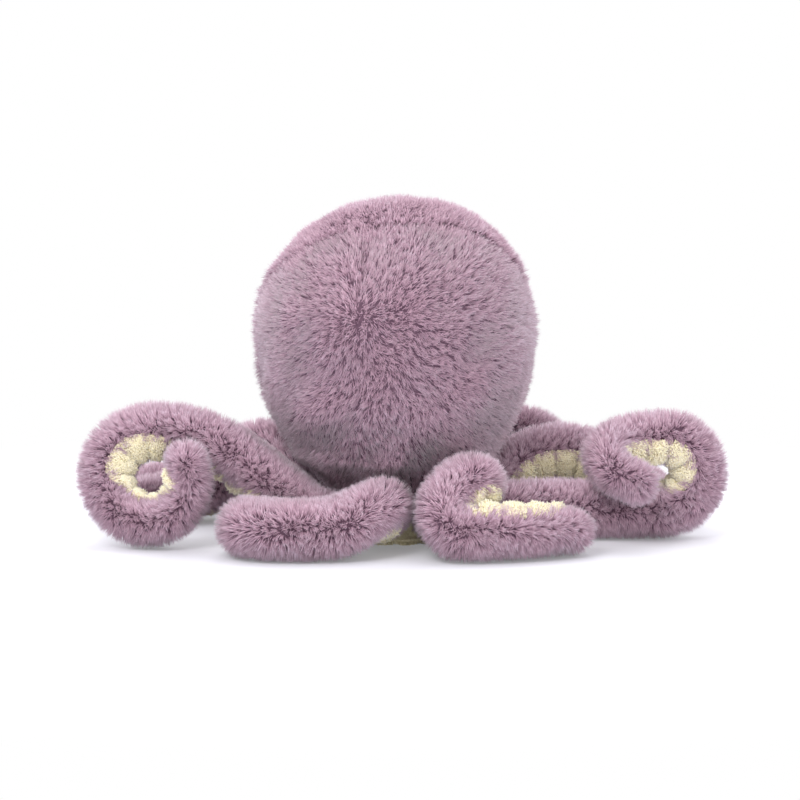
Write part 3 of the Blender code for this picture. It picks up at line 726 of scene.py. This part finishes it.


# Cream cord colours. The shade and root stops are painted shade: the nubs darken to olive at their
# roots, as the shade between them.
CREAM_SHADE = (0.50, 0.43, 0.25)
CREAM_ROOT = (0.66, 0.58, 0.36)
CREAM_MIDDLE = (0.85, 0.77, 0.52)
CREAM_TIP = (0.94, 0.89, 0.71)
CREAM_PALE = (0.97, 0.95, 0.86)
CREAM_CLOTH_DARK = (0.64, 0.56, 0.34)
CREAM_CLOTH_LIGHT = (0.84, 0.76, 0.52)
CREAM_WEAVE = 0.001
cream_pile = pile_material("cream_pile", CREAM_SHADE, CREAM_ROOT, CREAM_MIDDLE, CREAM_TIP,
                           CREAM_PALE, roughness=0.85, sheen=0.1)
cream_cloth = cloth_material("cream_cloth", CREAM_CLOTH_DARK, CREAM_CLOTH_LIGHT, CREAM_WEAVE,
                             roughness=0.9)
for number, arm in enumerate(arms):
    strip = add(rib_strip(arm.name + "_ribs", arm), cream_cloth, arm.name)
    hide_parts(arm.name + "_cord")
    dice = np.random.default_rng(NUB_SEED + number)
    step, share = arm.scatter(math.pi - FUR_HALF_ANGLE, NUBS_PER_M2, NUB_MOST, dice)
    angle = math.pi + share * (math.pi - arm.seam_angle(step, -share))
    out_of_fold = rib_phase(arm, step) < RIB_FOLD_SHARE
    step, angle = step[out_of_fold], angle[out_of_fold]
    points, normals, along = arm.at(step, angle, rib_reach(arm, step, angle))
    ahead, _, _ = arm.at(step + 0.5, angle, rib_reach(arm, step + 0.5, angle))
    rise = ((ahead - points) * normals).sum(1)
    slope = rise / np.maximum(((ahead - points) * along).sum(1), 1e-5)
    slope = np.clip(slope, -NUB_TILT_MOST, NUB_TILT_MOST)
    normals = unit(normals - along * slope[:, None])
    nubs = nub_mesh(arm.name + "_nubs", points, normals, dice)
    add(nubs, cream_pile, arm.name)


# Head. Two lilac panels of shorter pile, sewn together over the crown and down both sides.
# The back panel is gathered at its middle by a dart, and the pile turns out from the dart's end.
HEAD_OUTLINE_SHARES = (
    (0.271, 0.763), (0.330, 0.841), (0.391, 0.915), (0.455, 0.957), (0.526, 0.987), (0.596, 1.0),
    (0.667, 0.990), (0.735, 0.947), (0.807, 0.876), (0.878, 0.750), (0.926, 0.614), (0.963, 0.453),
    (0.989, 0.246),
)
HEAD_LEAN = 0.0035
LEAN_START_SHARE = 0.70
ROUND_TO_DEEP_SHARES = (0.24, 0.5)
HEM_RING = 0.046
HEM_TUCK_SHARE = 0.75
HEM_LOW = 0.037
HEM_WIDE = 0.0560
HEM_HEIGHT = 0.0455
HEAD_STEPS = 160
HEAD_SIDES = 96
HEAD_BACKING_DEPTH = 0.0034
OUTLINE_STEPS = 16

# The seam over the head, with a step near its left side, a notch and a ridge of pile along it.
# Where a value differs by panel, 1 is the front one and -1 the back one.
SEAM_BEND_HEIGHT = 0.133
SEAM_BEND_REACH = 0.02
SEAM_LEAN = math.tan(math.radians(42))
SEAM_STEP = 0.0055
SEAM_STEP_PLACES = (-0.0205, -0.0165)
SEAM_EVEN = 0.75
SEAM_UNEVEN = 0.35
SEAM_UNEVEN_SIZE = 0.014
SEAM_UNEVEN_SEED = 19
RIDGE_PLACE = 0.0032
RIDGE_WIDTH = 0.0034
RIDGE_RISE = {1: 0.0024, -1: 0.0004}
NOTCH_WIDTH = 0.0020
NOTCH_DROP = {1: 0.0006, -1: 0.0026}
NOTCH_SHADE = 0.5

# The dart in the back panel, where the pile parts, with painted shade along it
DART_END = np.array((-0.0197, -0.0700, 0.1230))
DART_TOP = np.array((-0.0166, -0.0560, 0.1650))
DART_WIDTH = 0.0005
DART_DEPTH = 0.0012
DART_WOBBLE = 0.0011
DART_WOBBLE_SIZE = 0.009
DART_SHADE = 0.0008
DART_SHADE_LEVELS = (0.7, 0.6)
DART_SHADE_SIZE = 0.006
PARTING_WIDTH = 0.0026
PARTING_LEAN = 0.30

# The head's pile, which lies away from a whorl on each panel
HEAD_PILE_DEPTH = 0.0055
HEAD_PILE_OVERSHOOT = 0.0006
HEAD_PILE_WIDTH = 0.00075
HEAD_PILE_MOST = 64000
HEAD_PILE_LIFT = 0.0004
HEAD_STRAY = 0.20
FACE_WHORL = np.array((0, 0.0750, 0.1130))
WHORL_SIZE = 0.016
WHORL_REACH = 0.03
HEAD_LAY = 0.62
RIDGE_LAY = 0.5
HEAD_SWIRL_SIZE = 0.030
HEAD_SWIRL_LEAN = 0.26
HEAD_STREAK_SIZE = 0.0026
HEAD_STREAK_SHADE = 0.46
HEAD_PATCHES = 0.22
HEAD_PATCH_SIZE = 0.045
HEAD_PATCH_SEED = 17
# Painted rim light: the pile is paler towards the head's left and right sides
RIM_LIGHT_PLACES = (0.040, 0.078)
PAINTED_RIM_LIGHT = 0.35
# Painted highlight: the front panel's pile is paler along the seam's ridge
RIDGE_HIGHLIGHT = 0.2
BACK_TONE = 0.32
FRONT_TONE = 0.38

# The face, where the pile is trimmed
EYE_SPREAD = 0.024
EYE_HEIGHT = 0.104
EYE_CLEARING = 0.0065
EYE_TRIM_SHARES = (0.6, 1.5)
MOUTH_WIDTH = 0.016
MOUTH_HEIGHT = 0.092
MOUTH_DROP = 0.0035
MOUTH_CLEARING = 0.0022
MOUTH_TRIM_SHARES = (0.4, 1.6)
TRIM_STRAIGHTENS = 0.7
TRIM_SHORTENS = 0.42

front_low, front_high = (np.array(corner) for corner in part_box("head_front_panel"))
head_top = front_high[2]
head_half_width = (front_high[0] - front_low[0]) / 2
head_half_depth = front_high[1]
head_low = front_low[2]


def head_profile():
    """Height and half-width of the head in even steps, from under the hem to the crown."""
    rows = [(head_low, HEM_RING * HEM_TUCK_SHARE), (HEM_LOW, HEM_RING), (HEM_HEIGHT, HEM_WIDE)]
    rows += [(height * head_top, width * head_half_width) for height, width in HEAD_OUTLINE_SHARES]
    rows += [(head_top, 0.0)]
    dense = curve_through(np.array(rows), OUTLINE_STEPS)
    length = np.concatenate([[0], np.cumsum(np.linalg.norm(np.diff(dense, axis=0), axis=1))])
    even = np.linspace(0, length[-1], HEAD_STEPS)
    return np.stack([np.interp(even, length, column) for column in dense.T], axis=1)


def full_turn(sides):
    return np.linspace(0, 2 * math.pi, sides + 1)[:-1]


profile = head_profile()
profile_way = unit(np.gradient(profile, axis=0))


def head_at(place, angle, reach):
    """Points and normals on the head at fractional steps up its profile and compass angles."""
    index = np.arange(len(profile))
    columns = (*profile.T, *profile_way.T)
    height, width, rise, spread = (np.interp(place, index, column) for column in columns)
    upward = height / head_top
    deeper = head_half_depth / head_half_width - 1
    deep = 1 + deeper * smooth_step(*ROUND_TO_DEEP_SHARES, upward)
    lean = HEAD_LEAN * smooth_step(LEAN_START_SHARE, 1, upward)
    normal = unit(np.stack([rise * np.cos(angle), rise * np.sin(angle) / deep, -spread], axis=1))
    point = np.stack([width * np.cos(angle) + lean, width * deep * np.sin(angle), height], axis=1)
    return point + normal * reach[:, None], normal


def seam_distance(points):
    """How far each point stands in front of the seam between the two panels."""
    drop = np.maximum(points[:, 2] - SEAM_BEND_HEIGHT, 0) * SEAM_LEAN
    slope = np.where(points[:, 2] > SEAM_BEND_HEIGHT, math.sqrt(1 + SEAM_LEAN ** 2), 1)
    crown = smooth_step(SEAM_BEND_HEIGHT, SEAM_BEND_HEIGHT + SEAM_BEND_REACH, points[:, 2])
    step = SEAM_STEP * crown * smooth_step(*SEAM_STEP_PLACES, -points[:, 0])
    return (points[:, 1] + drop) / slope + step


def dart_distance(points):
    """How far each point is from the dart, and the way from the dart to it."""
    line = DART_TOP - DART_END
    share = np.clip(((points - DART_END) @ line) / (line @ line), 0, 1)
    away = points - (DART_END + share[:, None] * line)
    away[:, 1] = 0
    return np.linalg.norm(away, axis=1), unit(away)


def mouth_height(x):
    return MOUTH_HEIGHT + MOUTH_DROP * ((2 * x / MOUTH_WIDTH) ** 2 - 1)


def face_clearing(points):
    """From 0 to 1, how much the pile is trimmed round the eyes and along the mouth."""
    eye = np.hypot(np.abs(points[:, 0]) - EYE_SPREAD, points[:, 2] - EYE_HEIGHT)
    beside = np.clip(points[:, 0], -MOUTH_WIDTH / 2, MOUTH_WIDTH / 2)
    mouth = np.hypot(points[:, 0] - beside, points[:, 2] - mouth_height(beside))
    by_eye = 1 - smooth_step(*EYE_TRIM_SHARES, eye / EYE_CLEARING)
    by_mouth = 1 - smooth_step(*MOUTH_TRIM_SHARES, mouth / MOUTH_CLEARING)
    return np.where(points[:, 1] > 0, np.maximum(by_eye, by_mouth), 0)


def head_pile(name, ahead, whorl, tone, seed):
    """One panel's pile, the front one's where ahead is 1 and the back one's where it is -1.

    It lies away from its whorl, stands up along the seam and dips at the dart.
    """
    dice = np.random.default_rng(seed)
    many = 4 * HEAD_PILE_MOST
    width = profile[:-1, 1] + 1e-6
    place = dice.choice(len(width), size=many, p=width / width.sum()) + dice.random(many)
    points, normals = head_at(place, dice.uniform(0, 2 * math.pi, many), np.zeros(many))
    seam = seam_distance(points) * ahead
    chosen = np.flatnonzero(seam > 0)[:int(HEAD_PILE_MOST * density)]
    points, normals, seam = points[chosen], normals[chosen], seam[chosen]
    is_back = ahead < 0
    wobble = np.array([[DART_WOBBLE, 0, 0]])
    wobble = wobble * ripple(points, DART_WOBBLE_SIZE, seed + 3)[:, None]
    dart, from_dart = dart_distance(points + wobble)
    crease = np.exp(-(dart / DART_WIDTH) ** 2) * is_back
    parting = np.exp(-(dart / PARTING_WIDTH) ** 2) * is_back
    uneven = ripple(points, SEAM_UNEVEN_SIZE, SEAM_UNEVEN_SEED)
    uneven = SEAM_EVEN + SEAM_UNEVEN * uneven
    ridge = np.exp(-((seam - RIDGE_PLACE) / RIDGE_WIDTH) ** 2) * uneven
    notch = np.exp(-(seam / NOTCH_WIDTH) ** 2) * uneven

    away = points - whorl
    far = np.linalg.norm(away, axis=1)
    lay = unit(across_only(away, normals)) * smooth_step(0, WHORL_SIZE, far)[:, None]
    facing = across_only(np.tile([0, float(ahead), 0], (len(points), 1)), normals)
    facing = facing * np.exp(-(far / WHORL_REACH) ** 2)[:, None]
    lean = lay * (HEAD_LAY - RIDGE_LAY * ridge)[:, None] + facing
    lean = lean + drift(points, HEAD_SWIRL_SIZE, seed + 1) * HEAD_SWIRL_LEAN
    lean += from_dart * parting[:, None] * PARTING_LEAN
    clearing = face_clearing(points)
    lean *= (1 - TRIM_STRAIGHTENS * clearing)[:, None]
    roots, tips, widths = brushed(points, normals, lean, HEAD_PILE_DEPTH, HEAD_PILE_OVERSHOOT,
                                  HEAD_PILE_WIDTH, HEAD_STRAY, seed + 9)
    swell = RIDGE_RISE[ahead] * ridge - NOTCH_DROP[ahead] * notch
    swell = normals * (HEAD_PILE_LIFT + swell - DART_DEPTH * crease)[:, None]
    roots += swell
    tips += swell
    tips = roots + (tips - roots) * (1 - TRIM_SHORTENS * clearing)[:, None]

    # Painted rim light towards the head's sides
    rim_light = smooth_step(*RIM_LIGHT_PLACES, np.abs(points[:, 0]))
    tones = tone + HEAD_PATCHES * ripple(points, HEAD_PATCH_SIZE, HEAD_PATCH_SEED)
    # Painted highlight along the front panel's ridge at the seam
    tones = tones + PAINTED_RIM_LIGHT * rim_light + RIDGE_HIGHLIGHT * ridge * (not is_back)
    tones += dice.normal(size=len(points)) * TONE_SPREAD
    # Painted shade: tufts whose tips lie at the dart are darkened in patches, and the back panel is
    # darkened in the seam's notch
    tip_off_dart, _ = dart_distance(tips + wobble)
    plain, patchy = DART_SHADE_LEVELS
    dart_shade_patches = np.clip(plain + patchy * ripple(points, DART_SHADE_SIZE, seed + 4), 0, 1)
    deep = np.exp(-(tip_off_dart / DART_SHADE) ** 2) * dart_shade_patches
    # Painted shade on random tufts and in streaks
    lit = 1 - RANDOM_TUFT_SHADE * dice.random(len(points)) ** 2
    lit = lit * streak_shade(tips, HEAD_STREAK_SIZE, HEAD_STREAK_SHADE, seed + 11)
    lit *= (1 - deep * is_back) * (1 - NOTCH_SHADE * notch * is_back)
    mesh = tuft_mesh(name, [(roots, widths)], tips, tones, lit)
    pile = add(mesh, lilac_pile, "body")
    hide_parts(name.replace("pile", "panel"))


head_pile("head_back_pile", -1, DART_END, BACK_TONE, 200)
head_pile("head_front_pile", 1, FACE_WHORL, FRONT_TONE, 230)

# The head's backing, in the same painted-shade colour
rings = []
for level in range(0, len(profile) - 1, 2):
    places = np.full(HEAD_SIDES, level, float)
    ring, _ = head_at(places, full_turn(HEAD_SIDES), np.full(HEAD_SIDES, -HEAD_BACKING_DEPTH))
    rings.append(ring)
hide = add(wrapped_mesh("head_backing", np.array(rings)), backing, "body")
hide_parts("head_stuffing")


# Eyes. Polished black plastic domes on plain stems, pushed through the front panel.
# A moulded washer grips each stem inside the head.
EYE_SIDES = 48
EYE_DOME_HEIGHT = 0.0042
EYE_DOME_STEPS = 12
EYE_DOME_END = math.radians(86)
EYE_SKIRT = 0.0006
EYE_SKIRT_SHARE = 0.96
PLASTIC_GRAIN = 0.0025
PLASTIC_UNEVEN = (0.8, 1.2)


def turned_piece(name, outline, place, axis, sides):
    """A closed smooth solid turned about an axis, from (radius, height) pairs."""
    first = unit(np.cross(axis, (0, 0, 1)))
    second = np.cross(axis, first)
    turn = full_turn(sides)
    outward = np.cos(turn)[:, None] * first + np.sin(turn)[:, None] * second
    rings = np.array([place + axis * height + outward * radius for radius, height in outline])
    return wrapped_mesh(name, rings)


def plastic_material(name, dark, light, roughness):
    """Plastic whose colour and gloss vary a little."""
    material, nodes, links, shader = new_material(name)
    noise = mottle(nodes, links, shader, 1 / PLASTIC_GRAIN, dark, light, (0, 1))
    uneven = nodes.new("ShaderNodeMapRange")
    uneven.inputs["To Min"].default_value = roughness * PLASTIC_UNEVEN[0]
    uneven.inputs["To Max"].default_value = roughness * PLASTIC_UNEVEN[1]
    links.new(noise.outputs["Fac"], uneven.inputs["Value"])
    links.new(uneven.outputs["Result"], shader.inputs["Roughness"])
    return material


BLACK_DARK = (0.010, 0.009, 0.011)
BLACK_LIGHT = (0.016, 0.014, 0.017)
WHITE_DARK = (0.76, 0.76, 0.75)
WHITE_LIGHT = (0.84, 0.84, 0.83)
polished_black = plastic_material("polished_black", BLACK_DARK, BLACK_LIGHT, roughness=0.07)
moulded_white = plastic_material("moulded_white", WHITE_DARK, WHITE_LIGHT, roughness=0.45)
for side in ("left", "right"):
    corners, _ = welded("eye_" + side)
    ring_corners, _ = welded("eye_washer_" + side)
    hub = ring_corners.mean(0)
    axis = unit(corners.mean(0) - hub)
    height = (corners - hub) @ axis
    spread = np.linalg.norm(corners - hub - height[:, None] * axis, axis=1)
    top, low, wide = height.max(), height.min(), spread.max()
    stem = spread[height < low + 1e-4].max()
    seat = top - EYE_DOME_HEIGHT
    skirt = seat - EYE_SKIRT
    outline = [(stem, low), (stem, skirt), (wide * EYE_SKIRT_SHARE, skirt), (wide, seat)]
    outline += [(wide * math.cos(tilt), seat + EYE_DOME_HEIGHT * math.sin(tilt))
                for tilt in np.linspace(0, EYE_DOME_END, EYE_DOME_STEPS + 1)[1:]]
    mesh = turned_piece("eye_dome_" + side, outline, hub, axis, EYE_SIDES)
    dome = add(mesh, polished_black, "body")
    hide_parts("eye_" + side)
    for slot in frame["nodes"]["eye_washer_" + side].material_slots:
        slot.material = moulded_white


# Mouth. A short smile in black embroidery thread, sewn through the front panel.
# It is a row of overlapping stitches of two twisted plies, each dipping into the pile at its ends.
STITCHES = 8
STITCH_RADIUS = 0.00062
STITCH_OVERLAP = 0.35
STITCH_STAND = 0.0005
STITCH_DIP = 0.0012
STITCH_ARCH_POWER = 4
STITCH_THIN = 0.55
STITCH_FULLER = 0.45
STITCH_RINGS = 17
STITCH_SIDES = 14
PLY_DEPTH_SHARE = 0.20
PLY_TWIST = 5.5


def on_face(x, height, reach):
    """Points and normals on the front of the head, straight ahead of the given places."""
    place = np.interp(height, profile[:, 0], np.arange(len(profile)))
    width = np.interp(place, np.arange(len(profile)), profile[:, 1])
    return head_at(place, np.arccos(x / width), reach)


def stitch_mesh(name):
    """The row of stitches. Each is a twisted pair of plies, thinner towards its ends."""
    points, faces = [], []
    turn = full_turn(STITCH_SIDES)
    for stitch in range(STITCHES):
        pitch = MOUTH_WIDTH / STITCHES
        start = -MOUTH_WIDTH / 2 + stitch * pitch - STITCH_OVERLAP * pitch / 2
        share = np.linspace(0, 1, STITCH_RINGS)
        x = start + share * pitch * (1 + STITCH_OVERLAP)
        arch = 1 - (2 * share - 1) ** STITCH_ARCH_POWER
        centre, normal = on_face(x, mouth_height(x), STITCH_STAND - STITCH_DIP * (1 - arch))
        side = np.cross(unit(np.gradient(centre, axis=0)), normal)
        ply = 1 + PLY_DEPTH_SHARE * np.cos(2 * (turn[None] - PLY_TWIST * share[:, None]))
        reach = STITCH_RADIUS * ply * (STITCH_THIN + STITCH_FULLER * arch[:, None])
        base = len(points) * STITCH_SIDES
        for row in range(STITCH_RINGS):
            ring = (centre[row] + side[row] * (np.cos(turn) * reach[row])[:, None]
                    + normal[row] * (np.sin(turn) * reach[row])[:, None])
            points.append(ring)
        last = base + (STITCH_RINGS - 1) * STITCH_SIDES
        faces += tube_faces(STITCH_RINGS, STITCH_SIDES, base)
        faces.append(tuple(range(base, base + STITCH_SIDES)))
        faces.append(tuple(range(last, last + STITCH_SIDES)))
    return solid_mesh(name, np.concatenate(points), faces)


THREAD_DARK = (0.012, 0.011, 0.013)
THREAD_LIGHT = (0.035, 0.032, 0.036)
THREAD_WEAVE = 0.0004
black_thread = cloth_material("black_thread", THREAD_DARK, THREAD_LIGHT, THREAD_WEAVE,
                              roughness=0.55)
mouth = add(stitch_mesh("mouth_thread"), black_thread, "body")
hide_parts("mouth_stitch")


# Base. A round of the same cream cord that closes the toy underneath, with a cup for the pouch.
# Its ribs run straight across, and the whole toy rests on them.
BASE_CREST = 0.0013
BASE_GROOVE = 0.0026
BASE_RIM = 0.0015
BASE_RINGS = 30
BASE_SIDES = 96
BASE_MIDDLE = 0.001
FOLD_END = 0.999
BASE_NUB_SEED = 300
base_corners, _ = welded("base_panel")
base_reach = np.hypot(base_corners[:, 0], base_corners[:, 1])
base_radius = base_reach.max()
base_top = base_corners[:, 2].max()
cup_reach = base_reach[base_corners[:, 2] > base_top / 2]
cup_radius = cup_reach.max()
cup_wall = cup_radius - cup_reach.min()
base_thick = np.unique(np.round(base_corners[:, 2], 5))
base_thick = base_thick[base_thick < base_top / 2].max()


def base_height(x):
    """The underside's height, rib by rib."""
    phase = np.abs((x / RIB_PITCH) % 1 - 0.5) * 2
    puff = np.sqrt(1 - np.minimum(phase, FOLD_END) ** PUFF_POWER)
    return BASE_CREST + BASE_GROOVE * (1 - puff)


turn = full_turn(BASE_SIDES)
way = np.stack([np.cos(turn), np.sin(turn), np.zeros(BASE_SIDES)], axis=1)
rings = []
for radius in np.linspace(BASE_MIDDLE, base_radius - BASE_RIM, BASE_RINGS):
    ring = way * radius
    ring[:, 2] = base_height(ring[:, 0])
    rings.append(ring)
up = np.array([0, 0, 1.0])
for radius, height in (
    (base_radius, BASE_RIM + BASE_CREST),
    (base_radius - BASE_RIM / 2, base_thick),
    (cup_radius, base_thick + BASE_CREST / 2),
    (cup_radius, base_top - cup_wall / 2),
    (cup_radius - cup_wall / 2, base_top),
    (cup_radius - cup_wall, base_top - cup_wall / 2),
    (cup_radius - cup_wall, base_thick + BASE_CREST / 2),
    (BASE_MIDDLE, base_thick),
):
    rings.append(way * radius + up * height)
cover = add(wrapped_mesh("base_cover", np.array(rings)), cream_cloth, "body")
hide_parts("base_panel")
dice = np.random.default_rng(BASE_NUB_SEED)
count = int(math.pi * base_radius ** 2 * NUBS_PER_M2 * density)
reach = (base_radius - BASE_RIM / 2) * np.sqrt(dice.random(count))
turn = dice.uniform(0, 2 * math.pi, count)
points = np.stack([reach * np.cos(turn), reach * np.sin(turn), np.zeros(count)], axis=1)
points[:, 2] = base_height(points[:, 0])
down = np.tile([0, 0, -1.0], (count, 1))
add(nub_mesh("base_nubs", points, down, dice), cream_pile, "body")


# Pouch. A small plain-woven bag of plastic pellets that weighs the toy down, in the base's cup.
# Its cloth is bumpy over the pellets and gathered into folds round the middle of its top.
POUCH_SIDES = 96
POUCH_PELLET = 0.0022
POUCH_BUMP = 0.0003
POUCH_FOLDS = 15
POUCH_FOLD_DEPTH = 0.0007
POUCH_RINGS = 40
POUCH_END = 0.48
POUCH_GATHER_START = 0.25
POUCH_SIDE_POWER = 0.45
POUCH_TOP_POWER = 0.6
POUCH_SEED = 77
POUCH_DARK = (0.62, 0.61, 0.58)
POUCH_LIGHT = (0.82, 0.81, 0.78)
POUCH_WEAVE = 0.0006
pouch_low, pouch_high = (np.array(corner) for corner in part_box("pellet_pouch"))
pouch_radius = (pouch_high[0] - pouch_low[0]) / 2
pouch_middle = (pouch_low + pouch_high) / 2
pouch_half = (pouch_high[2] - pouch_low[2]) / 2
turn = full_turn(POUCH_SIDES)
rings = []
for tilt in np.linspace(-POUCH_END, POUCH_END, POUCH_RINGS) * math.pi:
    flat = np.abs(np.cos(tilt)) ** POUCH_SIDE_POWER * (pouch_radius - POUCH_BUMP)
    rise = np.sign(tilt) * np.abs(np.sin(tilt)) ** POUCH_TOP_POWER * (pouch_half - POUCH_BUMP)
    ring = np.stack([flat * np.cos(turn), flat * np.sin(turn), np.full(POUCH_SIDES, rise)], axis=1)
    gather = smooth_step(POUCH_GATHER_START, POUCH_END, tilt / math.pi)
    ring[:, 2] -= POUCH_FOLD_DEPTH * gather * (1 - np.cos(POUCH_FOLDS * turn)) / 2
    bumps = ripple(ring, POUCH_PELLET * 2, POUCH_SEED) * POUCH_BUMP / 2
    ring += unit(ring) * bumps[:, None]
    rings.append(ring + pouch_middle)
pouch_cloth = cloth_material("pouch_cloth", POUCH_DARK, POUCH_LIGHT, POUCH_WEAVE, roughness=0.9)
bag = add(wrapped_mesh("pouch_bag", np.array(rings)), pouch_cloth, "body")
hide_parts("pellet_pouch")


# Studio. A plain pale floor that runs to a white surround, under soft light from all sides.
# Near the toy the floor keeps its shadow, and further out it glows white for the camera.
FLOOR_HALF = 6.0
FLOOR_CORNERS = ((-1, -1), (1, -1), (1, 1), (-1, 1))
FLOOR_COLOUR = (0.80, 0.80, 0.86)
# How much of the shading the white glow covers near the toy, and where it covers all
SHADOW_SOFTENING = 0.2
SHADOW_REACH = (0.17, 0.50)
SKY_COLOUR = (0.97, 0.97, 1)
SKY_LEVEL = 0.96
WHITE = (1, 1, 1, 1)


def whitened(nodes, links, operation, values, plain, white, output):
    """Shows the white shader in place of the plain one, by a share made of two values."""
    share = nodes.new("ShaderNodeMath")
    share.operation = operation
    for value, socket in zip(values, share.inputs):
        links.new(value, socket)
    mix = nodes.new("ShaderNodeMixShader")
    links.new(share.outputs["Value"], mix.inputs["Fac"])
    links.new(plain, mix.inputs[1])
    links.new(white, mix.inputs[2])
    links.new(mix.outputs["Shader"], nodes[output].inputs["Surface"])


floor_mesh = bpy.data.meshes.new("floor")
floor_points = [(x * FLOOR_HALF, y * FLOOR_HALF, 0) for x, y in FLOOR_CORNERS]
floor_mesh.from_pydata(floor_points, [], [(0, 1, 2, 3)])
floor = bpy.data.objects.new("floor", floor_mesh)
bpy.context.scene.collection.objects.link(floor)
floor_material, nodes, links, shader = new_material("floor")
shader.inputs["Base Color"].default_value = (*FLOOR_COLOUR, 1)
shader.inputs["Roughness"].default_value = 1
glow = nodes.new("ShaderNodeEmission")
glow.inputs["Strength"].default_value = 1
rays = nodes.new("ShaderNodeLightPath")
place = nodes.new("ShaderNodeTexCoord")
distance = nodes.new("ShaderNodeVectorMath")
distance.operation = "LENGTH"
links.new(place.outputs["Object"], distance.inputs[0])
fade = nodes.new("ShaderNodeMapRange")
fade.interpolation_type = "SMOOTHSTEP"
fade.inputs["From Min"].default_value = SHADOW_REACH[0]
fade.inputs["From Max"].default_value = SHADOW_REACH[1]
fade.inputs["To Min"].default_value = SHADOW_SOFTENING
links.new(distance.outputs["Value"], fade.inputs["Value"])
whitened(nodes, links, "MULTIPLY", (rays.outputs["Is Camera Ray"], fade.outputs["Result"]),
         shader.outputs["BSDF"], glow.outputs["Emission"], "Material Output")
floor_mesh.materials.append(floor_material)
floor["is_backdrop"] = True

world = bpy.data.worlds.new("studio")
bpy.context.scene.world = world
world.use_nodes = True
nodes = world.node_tree.nodes
links = world.node_tree.links
sky = nodes["Background"]
sky.inputs["Color"].default_value = (*SKY_COLOUR, 1)
sky.inputs["Strength"].default_value = SKY_LEVEL
seen = nodes.new("ShaderNodeBackground")
seen.inputs["Color"].default_value = WHITE
seen.inputs["Strength"].default_value = 1
rays = nodes.new("ShaderNodeLightPath")
whitened(nodes, links, "MAXIMUM", (rays.outputs["Is Camera Ray"], rays.outputs["Is Glossy Ray"]),
         sky.outputs["Background"], seen.outputs["Background"], "World Output")


def soft_light(name, place, size, power):
    data = bpy.data.lights.new(name, "AREA")
    data.size = size
    data.energy = power
    light = bpy.data.objects.new(name, data)
    light.location = place
    light.rotation_euler = (CAMERA_TARGET - Vector(place)).to_track_quat("-Z", "Y").to_euler()
    bpy.context.scene.collection.objects.link(light)


soft_light("key", (-0.45, -1.35, 1.2), size=0.7, power=16)
soft_light("low", (0.3, -1.4, 0.12), size=0.6, power=6.5)
soft_light("top", (0.2, 0.2, 1.8), size=1.2, power=9.5)
soft_light("rim_right", (1.1, 1.0, 0.7), size=1.0, power=10)
soft_light("rim_left", (-1.1, 1.0, 0.7), size=1.0, power=10)

bpy.context.scene.view_settings.view_transform = "Standard"

low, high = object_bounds()
